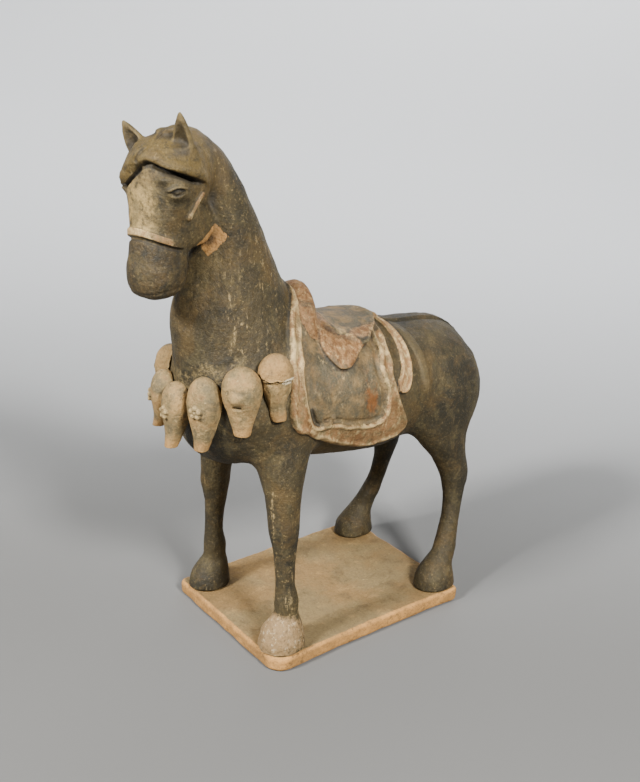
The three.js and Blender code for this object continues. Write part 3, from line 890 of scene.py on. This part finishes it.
def mesh_from(name, points, faces):
    mesh = bpy.data.meshes.new(name)
    mesh.vertices.add(len(points))
    mesh.vertices.foreach_set("co", points.astype(np.float32).ravel())
    width = faces.shape[1]
    mesh.loops.add(faces.size)
    mesh.loops.foreach_set("vertex_index", faces.astype(np.int32).ravel())
    mesh.polygons.add(len(faces))
    mesh.polygons.foreach_set("loop_start", np.arange(0, faces.size, width, dtype=np.int32))
    mesh.update(calc_edges=True)
    mesh.validate()
    obj = bpy.data.objects.new(name, mesh)
    bpy.context.scene.collection.objects.link(obj)
    return obj


def thinned(obj, most):
    """The piece with no more triangles than most, fewest where it is smooth."""
    triangles = sum(len(f.vertices) - 2 for f in obj.data.polygons)
    if triangles > most:
        modifier = obj.modifiers.new("thin", "DECIMATE")
        modifier.ratio = most / triangles
        shown = obj.evaluated_get(bpy.context.evaluated_depsgraph_get())
        mesh = bpy.data.meshes.new_from_object(shown)
        obj.modifiers.clear()
        obj.data = mesh
    return obj


def finished(obj, field, marks, rough):
    """Roughens the skin a little, smooths its shading and paints the marks on its vertices, among them the
    hollow mark, with which the materials lay painted shade in recesses.
    """
    mesh = obj.data
    points = np.empty(len(mesh.vertices) * 3, np.float32)
    mesh.vertices.foreach_get("co", points)
    p = to_squares(points.reshape(-1, 3).astype(float))
    slope = slopes(field, p)
    normal = slope / np.maximum(np.sqrt((slope**2).sum(0)), 1e-6)
    # hollow: how deep the skin lies in a recess, used for painted shade
    hollow = 1 - in_parts(field, p + normal * 3) / 3
    edge = 1 + in_parts(field, p - normal * 2.2) / 2.2
    bumps = rough * (0.5 * wander(p, 9) + 0.35 * wander(p + 40, 4) + 0.2 * wander(p + 80, 1.9))
    values = {"hollow": np.clip(hollow * 1.6, 0, 1), "edge": np.clip(edge * 1.6, 0, 1)}
    values.update(marks(p))
    for name, value in values.items():
        attribute = mesh.attributes.new(name, "FLOAT", "POINT")
        attribute.data.foreach_set("value", value.astype(np.float32))
    moved = to_metres(p + normal * np.minimum(bumps - 0.2, 0))
    mesh.vertices.foreach_set("co", moved.astype(np.float32).ravel())
    mesh.shade_smooth()
    mesh.update()
    return obj


def spot(p, centre, radii):
    """1 in the middle of an oval spot, fading to 0 a little outside it."""
    d = np.sqrt(sum(((p[i] - centre[i]) / radii[i]) ** 2 for i in range(3)))
    return rise(d - 1, 0.6)


def spots(p, ovals):
    """The strongest of several spots."""
    return np.maximum.reduce([spot(p, centre, radii) for centre, radii in ovals])


def cloth_marks(p):
    """The painted parts of the harness, and the pale crests along its edges."""
    y, z = p[1:]
    cloth = rise(np.abs(trunk(p)) - 6, 3) * rise(104 - z, 4)
    edge, inner = cloth_edges(p)
    border = rise(np.maximum(edge, -inner), 1.2)
    on_saddle = rise(saddle(y, z), 1.4) * cloth
    arch = rise(pommel_field(p) - 1, 1.2)
    seat = on_saddle * rise(187.5 - z, 3) * rise(-8 - y, 4)
    crest = bead(edge + 2.2, 2.2) + bead(inner - 1.8, 2.4) * rise(edge, 1)
    crest = crest * (1 - on_saddle) + bead(saddle(y, z) + 2, 2) * on_saddle * rise(-2 - y, 6)
    crest = crest + bead(path_distance(y, z, SEAT_RIM), 2) * on_saddle * rise(-8 - y, 6)
    return {
        "band": border * cloth * (1 - on_saddle),
        "field": rise(edge, 1.2) * (1 - border) * cloth * (1 - on_saddle) * (1 - arch),
        "saddle": np.clip(on_saddle * (1 - seat) + arch, 0, 1),
        "seat": seat * (1 - arch),
        "lobe": rise(lobe(y, z), 1.2) * cloth,
        "ribbon": rise(ribbon(y, z), 1.6) * cloth,
        "crest": crest * cloth * (0.75 + 0.6 * wander(p + 60, 8)),
    }


def painted_head_shade(left, forward, up, on_head):
    """Painted shade on the head: below the hair, in the eyes and in the ears."""
    oval, high = eye_oval(np.abs(left), forward, up)
    lid_line = bead(oval - 0.95, 0.3) * rise(0.1 - high, 1)
    in_eye = np.maximum(lid_line, 0.48 * rise(oval - 1, 0.5)) * rise(10 - forward, 2)
    dark = np.maximum(hair_gap(left, forward, up, 0.8, 0.8), in_eye) * on_head
    for base, tip in (LEFT_EAR, RIGHT_EAR):
        hollow = ear_shapes((left, forward, up), base, tip)[1]
        dark = np.maximum(dark, 0.5 * rise(hollow - 0.6, 1.2) * rise(300 - up, 3))
    return dark


def head_marks(p):
    """The painted parts of the head."""
    left, forward, up = to_head(p)
    on_head = rise(217 - p[2], 4) * rise(p[1] + 72, 6)
    high = above_noseband(left, forward, up)
    noseband = rise(np.abs(high) - 2.2, 1.2) * rise(32 - forward, 10) * on_head
    strap = path_distance(forward, up, CHEEK_STRAP)
    straps = rise(strap - 1.6, 1.2) * rise(8 - np.abs(left), 4) * on_head
    cover = np.minimum(hair_cover(left, forward, up), lock_cover(left, up))
    hair = rise(cover, 1.5) * rise(4 - forward, 12) * (1 - 0.6 * rise(313 - up, 4))
    # The face's front share: a painted highlight where the face turns to the light, half as strong on the
    # forehead; the noseband's crest is also kept to it
    front = rise(np.abs(left + 2) - 11, 8) * rise(24 - forward, 12)
    front = front * (0.5 + 0.5 * rise(up - 286, 10))
    muzzle = rise(high + 3.5, 3) * rise(10 - forward, 6) * on_head
    return {
        "band": noseband * 0.9 + straps * 0.8,
        "crest": 0.9 * noseband * front + 0.35 * straps,
        "face": (1 - hair) * (1 - muzzle) * (0.12 + 0.88 * front) * on_head,
        "hair": hair * on_head,
        "muzzle": muzzle,
        # painted shade in the gaps and hollows of the head
        "gap": painted_head_shade(left, forward, up, on_head),
        # a painted highlight on the nose's ridge, laid with the pale dust
        "pale": 0.8 * spot((left, forward, up), *NOSE_RIDGE_HIGHLIGHT) * on_head,
    }


def body_marks(p):
    """Crust, bare clay, dust and stains, and painted shade in the throat's notch."""
    x, y, z = p
    away = [p[i] - PATCH_MIDDLE[i] for i in range(3)]
    long_way = sum(away[i] * PATCH_LONG_WAY[i] for i in range(3)) - 0.5
    short_way = sum(away[i] * PATCH_SHORT_WAY[i] for i in range(3)) + 0.4
    patch = rise(np.maximum(np.abs(long_way) - PATCH_HALF[0], np.abs(short_way) - PATCH_HALF[1]), 1.5)
    patch = patch * rise(7 - x, 3) * rise(-95 - y, 4)
    hooves = rise(z - 17 - 3 * wander(p, 8), 8)
    collar = spots(p, [((*spec["at"], spec["top"]), COLLAR_SPOT) for spec in PENDANTS])
    near_leg = 0.5 * rise(z - 105, 20) * rise(12 - x, 6) * rise(y + 20, 10)
    neck_side = 0.45 * rise(190 - z, 30) * rise(-80 - y, 10)
    rear = 0.3 * rise(20 - y, 20)
    return {
        "pale": 0.3 * hooves + 0.6 * collar,
        "crust": spot(p, *CRUSTED_HOOF),
        "bare": patch + spots(p, CHIPS),
        "smear": spot(p, *SMEAR),
        # painted shade in the notch between the jaw and the neck
        "gap": 0.8 * spot(p, *THROAT_SHADE),
        "crusty": 0.35 + near_leg + neck_side - rear,
    }


def horse_marks(p):
    """Where each kind of surface lies on the horse, from 0 to 1."""
    marks = cloth_marks(p)
    for name, value in (*head_marks(p).items(), *body_marks(p).items()):
        marks[name] = marks.get(name, 0) + value
    return {name: np.clip(value, 0, 1) for name, value in marks.items()}


# Pieces

def make_horse():
    """The horse, sampled more closely at its head and chest."""
    behind = even(CHEST_LINE, BACK_END, PITCH)
    before = even(0, BEFORE_CHEST, PITCH * 0.75)
    below = even(-0.01, CHIN_LINE, PITCH)
    above = even(0, ABOVE_CHIN, PITCH * 0.65)
    places = [
        even(-SIDE_END, SIDE_END, PITCH * 0.85),
        np.concatenate([CHEST_LINE - before[:0:-1], behind]),
        np.concatenate([below, above[1:] + below[-1]]),
    ]
    points, quads = skin(horse_field, places, PITCH)
    points[2] = np.maximum(points[2], 0)
    obj = thinned(mesh_from("tomb_horse", to_metres(points), quads), MOST_TRIANGLES)
    return finished(obj, horse_field, horse_marks, 0.55)


def pendant_frame(spec):
    angle = math.radians(spec["facing"])
    out = np.array([math.sin(angle), -math.cos(angle)])
    return out, np.array([-out[1], out[0]])


def pendant_local(spec, p):
    """Across the pendant, out from the chest, and the share of its length down from its top."""
    out, across = pendant_frame(spec)
    dx = p[0] - spec["at"][0]
    dy = p[1] - spec["at"][1]
    share = (spec["top"] - p[2]) / (spec["top"] - spec["tip"])
    bend = np.clip(share, 0, 1) ** 3 * spec["wide"]
    u = dx * across[0] + dy * across[1] - spec["lean"] * bend
    v = dx * out[0] + dy * out[1] - spec["kick"] * bend
    return u, v, share


def tassel_field(spec, p):
    wide = spec["wide"]
    length = spec["top"] - spec["tip"]
    u, v, share = pendant_local(spec, p)
    inside = np.clip(share, DOME_SHARE, 1)
    half_wide = wide * tassel.read(tassel.wide, inside)
    half_deep = wide * tassel.read(tassel.deep, inside)
    power = 2.3
    a = np.abs(u) / half_wide
    b = np.abs(v - wide * tassel.read(tassel.middle, inside)) / half_deep
    r = (a**power + b**power) ** (1 / power) + 1e-6
    up = np.maximum(DOME_SHARE - share, 0) / DOME_SHARE
    d = (np.hypot(r, up) - 1) * np.minimum(half_wide, half_deep) * 0.95
    over = np.maximum(share - 1, 0) * length
    return np.where(over > 0, np.hypot(np.maximum(d, 0), over), d)


def pendant_detail(spec, p, d):
    """The rosette, knob or broken dome on a pendant's front."""
    u, v, share = pendant_local(spec, p)
    length = spec["top"] - spec["tip"]
    down = share * length
    place = (u, down, v)
    front = 0.84 * spec["wide"]
    if spec["kind"] == "rosette":
        middle = 0.42 * length
        for i in range(PETALS):
            turn = 2 * math.pi * i / PETALS
            across = ROSETTE_RADIUS * math.sin(turn)
            centre = (across, middle - ROSETTE_RADIUS * math.cos(turn), front)
            d = join(d, ball(place, centre, PETAL_RADII), 0.5)
        return join(d, ball(place, (0, middle, front), HEART_RADII), 0.4)
    if spec["kind"] == "knob":
        knob = ball(place, (-1, 0.4 * length, 0.8 * spec["wide"]), (3.4, 3.2, 2.8))
        slit = ball(place, (-1, 0.53 * length, front), (3, 0.9, 2.2))
        return -join(-join(d, knob, 2.5), slit, 0.5)
    crack = np.abs(down - CRACK_SHARE * length - 0.7 * np.sin(u * 0.9) - 0.1 * u) - 0.3
    deep = np.maximum(crack, -(d + 1.6))
    lower = rise(CRACK_SHARE * length - down, 1.4)
    facets = 0.5 * np.abs(np.sin(u * 0.75 + 0.6))
    d = d + lower * (0.7 + facets) * rise(down - 0.85 * length, 6)
    return np.where(v > 0, np.maximum(d, -deep), d)


def pendant_marks(spec):
    def marks(p):
        u, v, share = pendant_local(spec, p)
        dome = 1.0 if spec["kind"] == "dome" else 0.0
        crack_side = spot((u, share, v), (6, CRACK_SHARE, 6), (5, 0.05, 6)) * dome
        return {
            "tip": rise(0.85 - share, 0.5),
            "bare": dome * rise(share - CRACK_SHARE, 0.04),
            "pale": crack_side,
        }
    return marks


def backing(p):
    """What a pendant lies against, grown by the gap: the trunk, its blanket and the shoulders."""
    x, y, z = p
    d = trunk(p)
    d = d - (BLANKET_THICK + BORDER_THICK) * rise(cloth_edges(p)[0], 0.6)
    d = np.minimum(d, fore_leg(z, np.abs(x), y))
    return d - LUTING_GAP


def make_pendant(index):
    spec = PENDANTS[index]

    def field(p):
        d = pendant_detail(spec, p, tassel_field(spec, p))
        d = meet(d, -backing(p), 0.4)
        if index:
            d = meet(d, LUTING_GAP - tassel_field(PENDANTS[index - 1], p), 0.4)
        return d

    reach = spec["wide"] * 1.7
    low = (spec["at"][0] - reach, spec["at"][1] - reach, spec["tip"] - 3)
    high = (spec["at"][0] + reach, spec["at"][1] + reach, spec["top"] + 3)
    places = [even(low[i], high[i], PENDANT_PITCH) for i in range(3)]
    points, quads = skin(field, places, PENDANT_PITCH)
    obj = mesh_from(f"pendant_{index + 1}", to_metres(points), quads)
    return finished(obj, field, pendant_marks(spec), 0.5)


def slab_plan(x, y, half):
    """Distance in plan to the slab's edge, from places about its middle."""
    left_edge = half[0] - SIDE_DIP * np.clip(1 - (y / half[1]) ** 2, 0, 1)
    qx = np.where(x > 0, x - left_edge, -x - half[0])
    qy = np.abs(y) - half[1]
    corner = np.where((x > 0) & (y < 0), WORN_CORNER, CUT_CORNER)
    plan = np.hypot(np.maximum(qx + corner, 0), np.maximum(qy + corner, 0)) - corner
    return plan + np.minimum(np.maximum(qx + corner, qy + corner), 0)


def make_slab():
    low, high = (np.array(corner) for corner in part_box("base_slab"))
    half = (high - low) / 2 / SQUARE
    centre = to_squares(((low + high) / 2)[None])[:, 0]

    def field(p):
        x, y, z = (p[i] - centre[i] for i in range(3))
        plan = slab_plan(x, y, half) + 0.35 * (1 + wander(p, 14)) + EDGE_ROUNDING
        flat = np.abs(z) - half[2] + EDGE_ROUNDING
        outside = np.hypot(np.maximum(plan, 0), np.maximum(flat, 0)) - EDGE_ROUNDING
        return outside + np.minimum(np.maximum(plan, flat), 0)

    def marks(p):
        x, y = (p[i] - centre[i] for i in range(2))
        return {"side": rise(-(slab_plan(x, y, half) + 2.5), 3)}

    reach = half + 2
    places = [even(centre[i] - reach[i], centre[i] + reach[i], SLAB_PITCH) for i in range(3)]
    points, quads = skin(field, places, SLAB_PITCH)
    obj = mesh_from("clay_slab", to_metres(points), quads)
    return finished(obj, field, marks, 0.5)


# Materials

class Paint:
    """A material built up coat by coat. A source is a number, a colour, a socket or the name of a
    mark on the mesh."""

    def __init__(self, name):
        self.material = bpy.data.materials.new(name)
        self.material.use_nodes = True
        self.tree = self.material.node_tree
        self.shader = self.tree.nodes["Principled BSDF"]
        self.place = self.tree.nodes.new("ShaderNodeTexCoord").outputs["Object"]

    def link(self, source, socket):
        """Gives a socket its source."""
        if isinstance(source, str):
            source = self.mark(source)
        if isinstance(source, (int, float, tuple)):
            socket.default_value = source
        else:
            self.tree.links.new(source, socket)

    def mark(self, name):
        node = self.tree.nodes.new("ShaderNodeAttribute")
        node.attribute_name = name
        return node.outputs["Fac"]

    def noise(self, size, detail=4.0, roughness=0.6, stretch=(1, 1, 1), distortion=0.0):
        """Noise with features about size metres across."""
        mapping = self.tree.nodes.new("ShaderNodeMapping")
        self.link(self.place, mapping.inputs["Vector"])
        mapping.inputs["Scale"].default_value = stretch
        node = self.tree.nodes.new("ShaderNodeTexNoise")
        self.link(mapping.outputs["Vector"], node.inputs["Vector"])
        node.inputs["Scale"].default_value = 1 / size
        node.inputs["Detail"].default_value = detail
        node.inputs["Roughness"].default_value = roughness
        node.inputs["Distortion"].default_value = distortion
        return node.outputs["Fac"]

    def math(self, operation, a, b):
        node = self.tree.nodes.new("ShaderNodeMath")
        node.operation = operation
        self.link(a, node.inputs[0])
        self.link(b, node.inputs[1])
        return node.outputs[0]

    def span(self, source, low, high):
        """0 where source is at low, 1 at high, held between."""
        node = self.tree.nodes.new("ShaderNodeMapRange")
        node.interpolation_type = "SMOOTHSTEP"
        self.link(source, node.inputs["Value"])
        node.inputs["From Min"].default_value = low
        node.inputs["From Max"].default_value = high
        return node.outputs["Result"]

    def worn(self, mark, noise, low=0.35, high=0.75, pull=1.0):
        """A mark whose edge is eaten away by noise."""
        pulled = self.math("MULTIPLY", self.math("SUBTRACT", noise, 0.5), pull)
        return self.span(self.math("ADD", mark, pulled), low, high)

    def mix(self, share, under, over):
        node = self.tree.nodes.new("ShaderNodeMix")
        node.data_type = "RGBA"
        self.link(share, node.inputs["Factor"])
        colours = [socket for socket in node.inputs if socket.type == "RGBA"]
        self.link(under, colours[0])
        self.link(over, colours[1])
        return [socket for socket in node.outputs if socket.type == "RGBA"][0]

    def coat(self, colour, *coats):
        """The colour under coats, each with its colour, its share and masks. A mask is a source, or
        a source with the values where the mask is 0 and 1."""
        for over, share, *masks in coats:
            for mask in masks:
                mask = self.span(*mask) if isinstance(mask, tuple) else mask
                share = self.math("MULTIPLY", share, mask)
            colour = self.mix(share, colour, over)
        return colour

    def grained(self, colour):
        """The colour with a fine grain of darker and lighter specks."""
        grain = self.noise(0.0016, 4, 0.8)
        return self.coat(colour, (SOOT_AND_SHADE, 0.5, (grain, 0.5, 0.3)), (CREAM, 0.2, (grain, 0.54, 0.74)))

    def done(self, colour, patches, uneven, roughness, depth):
        """Sets the colour, a roughness that is uneven in patches, and grains and lumps of some depth."""
        self.link(colour, self.shader.inputs["Base Color"])
        roughness = self.math("ADD", self.math("MULTIPLY", patches, uneven), roughness)
        self.link(roughness, self.shader.inputs["Roughness"])
        self.shader.inputs["Specular IOR Level"].default_value = 0.35
        grain = self.noise(0.0013, 4, 0.7)
        lumps = self.noise(0.005, 4, 0.65)
        bump = self.tree.nodes.new("ShaderNodeBump")
        bump.inputs["Strength"].default_value = 1.0
        bump.inputs["Distance"].default_value = depth
        self.link(self.math("ADD", self.math("MULTIPLY", grain, 0.5), lumps), bump.inputs["Height"])
        self.link(bump.outputs["Normal"], self.shader.inputs["Normal"])
        return self.material


def olive_slip(paint, patchy, brown, streak):
    """The worn slip of the body and the head, before its crust, with a painted highlight on the face's
    front.
    """
    broad = paint.noise(0.05, 2, 0.5)
    mottle = paint.noise(0.0052, 6, 0.74)
    return paint.coat(
        OLIVE_DARK,
        (OLIVE, 1, (broad, 0.36, 0.64)),
        (OLIVE_GREY, 0.75, (patchy, 0.48, 0.66)),
        (OCHRE, 0.5, (brown, 0.5, 0.72)),
        (DUST, 0.3, (streak, 0.53, 0.72)),
        (OLIVE_DARK, 0.7, (streak, 0.46, 0.32)),
        (HAIR_TAN, 0.85, "hair", (mottle, 0.3, 0.56)),
        (DUST, 0.5, "hair", (streak, 0.58, 0.68)),
        # tan paint over the face, with a painted highlight on its front
        (HEAD_TAN_AND_HIGHLIGHT, 0.85, "face", (mottle, 0.34, 0.62)),
        (OCHRE, 0.3, "muzzle", (mottle, 0.36, 0.62)),
        (OLIVE_DARK, 0.6, "muzzle", (mottle, 0.58, 0.36)),
    )


def harness_colours(paint, colour, patchy, brown, streak, eaten):
    """The blanket, the saddle and the bridle over the slip."""
    worn = paint.noise(0.004, 5, 0.75, stretch=(1, 1, 0.55), distortion=0.4)
    field = paint.coat(
        SLATE,
        (FIELD_BROWN, 0.8, (patchy, 0.38, 0.7)),
        (PINK, 0.4, (streak, 0.52, 0.68)),
        (OLIVE_DARK, 0.4, (brown, 0.54, 0.4)),
        (CREAM, 0.4, (worn, 0.56, 0.7)),
    )
    band = paint.coat(
        PINK,
        (BUFF_GREY, 1, (patchy, 0.4, 0.62)),
        (BORDER_BROWN, 0.7, (brown, 0.5, 0.62)),
        (CREAM, 0.6, (worn, 0.5, 0.66)),
    )
    leather = paint.coat(
        BORDER_BROWN,
        (PINK, 1, (worn, 0.4, 0.6)),
        (CREAM, 0.55, (eaten, 0.54, 0.68)),
        (SLATE, 0.7, (patchy, 0.48, 0.34)),
    )
    seat = paint.coat(SLATE, (FIELD_BROWN, 1, (patchy, 0.42, 0.62)))
    flap = paint.coat(PINK, (CREAM, 1, (worn, 0.42, 0.66)))
    return paint.coat(
        colour,
        (field, 1, paint.worn("field", eaten)),
        (RUST, 0.85, paint.worn("smear", patchy, 0.45, 0.95, 1.8), (streak, 0.36, 0.56)),
        (band, 1, paint.worn("band", eaten, 0.4, 0.75, 1.3)),
        (leather, 1, paint.worn("saddle", eaten, 0.4, 0.75, 1.3)),
        (seat, 1, paint.worn("seat", eaten)),
        (flap, 1, paint.worn("lobe", eaten)),
        (BUFF_GREY, 0.25, paint.worn("ribbon", eaten)),
        (CREAM, 0.6, paint.worn("crest", worn, 0.4, 1.0, 3.0)),
    )


def olive_material():
    paint = Paint("olive slip")
    patchy = paint.noise(0.012, 6, 0.68, distortion=0.7)
    brown = paint.noise(0.026, 6, 0.7, distortion=1.0)
    streak = paint.noise(0.006, 5, 0.72, stretch=(1, 1, 0.4), distortion=0.6)
    fleck = paint.noise(0.0032, 5, 0.75)
    drip = paint.noise(0.0036, 4, 0.7, stretch=(1, 1, 0.16))
    eaten = paint.noise(0.0028, 5, 0.75)
    where = paint.noise(0.022, 4, 0.7, distortion=0.6)
    crusty = paint.worn("crusty", where, 0.35, 0.8, 2.0)
    crust = paint.worn("crust", fleck, 0.35, 0.85, 1.6)
    bare = paint.coat(BORDER_BROWN, (BARE, 1, (fleck, 0.3, 0.5)))

    colour = olive_slip(paint, patchy, brown, streak)
    colour = harness_colours(paint, colour, patchy, brown, streak, eaten)
    colour = paint.coat(
        colour,
        (OCHRE, 0.4, (where, 0.5, 0.66)),
        (CREAM, 0.5, (drip, 0.57, 0.68), (fleck, 0.42, 0.58), crusty),
        (DUST, 0.8, (fleck, 0.57, 0.66), crusty, (patchy, 0.42, 0.56)),
        # Pale dust on the hooves and at the collar, and the painted highlight on the nose's ridge
        (DUST, 0.75, paint.worn("pale", fleck, 0.4, 0.9, 1.8)),
        (CRUST, 0.7, crust),
        (WHITE, 0.5, crust, (eaten, 0.54, 0.68)),
        (bare, 1, paint.worn("bare", eaten, 0.45, 0.6)),
        (DUST, 0.3, paint.worn("edge", eaten, 0.35, 0.95)),
    )
    # Fine grain, then painted shade: darker in recesses, darkest in the gaps below the forelock, in the
    # eyes and ears and in the throat's notch
    colour = paint.coat(
        paint.grained(colour),
        (SOOT_AND_SHADE, 0.7, ("hollow", 0.2, 0.85)),
        (SOOT_AND_SHADE, 1, ("gap", 0.3, 0.7)),
    )
    return paint.done(colour, patchy, 0.3, 0.5, 0.001)


def pale_material():
    paint = Paint("pale slip")
    broad = paint.noise(0.02, 4, 0.6)
    patchy = paint.noise(0.007, 5, 0.65, distortion=0.4)
    fleck = paint.noise(0.0026, 5, 0.75)
    eaten = paint.noise(0.0024, 5, 0.75)
    colour = paint.coat(
        BUFF_GREY,
        (BUFF, 1, (broad, 0.38, 0.62)),
        (PINK, 0.5, (patchy, 0.5, 0.68)),
        (SLATE, 0.75, (patchy, 0.52, 0.34)),
        (CREAM, 0.45, (fleck, 0.56, 0.68)),
        (CREAM, 0.45, paint.worn("edge", eaten, 0.35, 0.95)),
        (SLAB_EDGE, 0.4, paint.worn("tip", eaten)),
        (BARE, 0.35, paint.worn("bare", eaten)),
        (WHITE, 1, paint.worn("pale", eaten)),
    )
    # Painted shade: olive-dark in the pendants' recesses
    colour = paint.coat(paint.grained(colour), (OLIVE_DARK, 0.5, ("hollow", 0.2, 0.85)))
    return paint.done(colour, patchy, 0.2, 0.66, 0.001)


def slab_material():
    paint = Paint("bare clay")
    broad = paint.noise(0.04, 4, 0.6)
    patchy = paint.noise(0.012, 5, 0.65, distortion=0.3)
    fleck = paint.noise(0.0026, 5, 0.75)
    eaten = paint.noise(0.004, 5, 0.75)
    edge = paint.coat(
        SLAB_EDGE,
        (BARE, 1, (patchy, 0.35, 0.65)),
        (SLAB_DARK, 0.6, (eaten, 0.54, 0.66)),
    )
    colour = paint.coat(
        SLAB_TOP,
        (BUFF_GREY, 0.7, (broad, 0.4, 0.62)),
        (SLAB_DARK, 0.6, (patchy, 0.5, 0.7)),
        (BUFF, 0.5, (patchy, 0.44, 0.3)),
        (edge, 1, paint.worn("side", eaten)),
        (CREAM, 0.35, (fleck, 0.6, 0.72)),
    )
    return paint.done(paint.grained(colour), patchy, 0.15, 0.8, 0.0008)


olive = olive_material()
pale = pale_material()
clay = slab_material()

horse = make_horse()
horse.data.materials.append(olive)
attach(horse, "root")
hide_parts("horse")

for number in range(len(PENDANTS)):
    pendant = make_pendant(number)
    pendant.data.materials.append(pale)
    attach(pendant, "root")
    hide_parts(f"collar_pendant_{number + 1}")

slab = make_slab()
slab.data.materials.append(clay)
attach(slab, "root")
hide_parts("base_slab")


# Stage, light and camera

def make_camera():
    data = bpy.data.cameras.new("camera")
    camera = bpy.data.objects.new("camera", data)
    bpy.context.scene.collection.objects.link(camera)
    data.sensor_width = SENSOR
    data.lens = SENSOR * FOCAL_PIXELS / IMAGE_LONG_SIDE
    back = Vector((math.sin(CAMERA_AZIMUTH) * math.cos(CAMERA_PITCH),
                   -math.cos(CAMERA_AZIMUTH) * math.cos(CAMERA_PITCH), math.sin(CAMERA_PITCH)))
    right = Vector((math.cos(CAMERA_AZIMUTH), math.sin(CAMERA_AZIMUTH), 0))
    up = back.cross(right)
    axes = Matrix((right, up, back)).transposed().to_4x4()
    camera.matrix_world = Matrix.Translation(CAMERA_PLACE) @ axes @ Matrix.Rotation(CAMERA_ROLL, 4, "Z")
    bpy.context.scene.camera = camera


def make_floor():
    """A pale floor that curves up into a backdrop, away from the camera. Its colour is painted falloff of
    the light: darker near the camera and to the left, lighter far away.
    """
    away = Vector((-math.sin(CAMERA_AZIMUTH), math.cos(CAMERA_AZIMUTH), 0))
    right = Vector((math.cos(CAMERA_AZIMUTH), math.sin(CAMERA_AZIMUTH), 0))
    profile = [(-FLOOR_HALF, 0)]
    for i in range(SWEEP_STEPS + 1):
        angle = math.pi / 2 * i / SWEEP_STEPS
        profile.append((SWEEP_START + SWEEP_RADIUS * math.sin(angle), SWEEP_RADIUS * (1 - math.cos(angle))))
    profile.append((SWEEP_START + SWEEP_RADIUS, 2 * FLOOR_HALF))
    points = []
    for side in (-FLOOR_HALF * 2, FLOOR_HALF * 2):
        for reach, height in profile:
            points.append(away * reach + right * side + Vector((0, 0, height)))
    n = len(profile)
    faces = [(i, i + 1, n + i + 1, n + i) for i in range(n - 1)]
    mesh = bpy.data.meshes.new("floor")
    mesh.from_pydata([tuple(p) for p in points], [], faces)
    mesh.shade_smooth()
    floor = bpy.data.objects.new("floor", mesh)
    bpy.context.scene.collection.objects.link(floor)
    paint = Paint("floor")
    split = paint.tree.nodes.new("ShaderNodeSeparateXYZ")
    paint.link(paint.place, split.inputs[0])
    slant = away + FLOOR_SLANT * right
    back = paint.math("MULTIPLY", split.outputs["Y"], slant.y)
    aside = paint.math("MULTIPLY", split.outputs["X"], slant.x)
    depth = paint.math("ADD", back, aside)
    shade = paint.coat(FLOOR_NEAR_SHADED, (FLOOR_FAR_LIT, 1, (depth, *FLOOR_SHADES)))
    paint.link(shade, paint.shader.inputs["Base Color"])
    paint.shader.inputs["Roughness"].default_value = 0.9
    mesh.materials.append(paint.material)


def make_light(name, place, side, power, target, spread):
    data = bpy.data.lights.new(name, "AREA")
    data.shape = "RECTANGLE"
    data.size = side
    data.size_y = side
    data.energy = power
    data.spread = math.radians(spread)
    light = bpy.data.objects.new(name, data)
    light.location = place
    light.rotation_euler = (Vector(target) - Vector(place)).to_track_quat("-Z", "Y").to_euler()
    bpy.context.scene.collection.objects.link(light)


make_camera()
make_floor()
for light in LIGHTS:
    make_light(*light)
world = bpy.data.worlds.new("studio")
world.use_nodes = True
world.node_tree.nodes["Background"].inputs["Color"].default_value = (1, 1, 1, 1)
world.node_tree.nodes["Background"].inputs["Strength"].default_value = WORLD_STRENGTH
bpy.context.scene.world = world
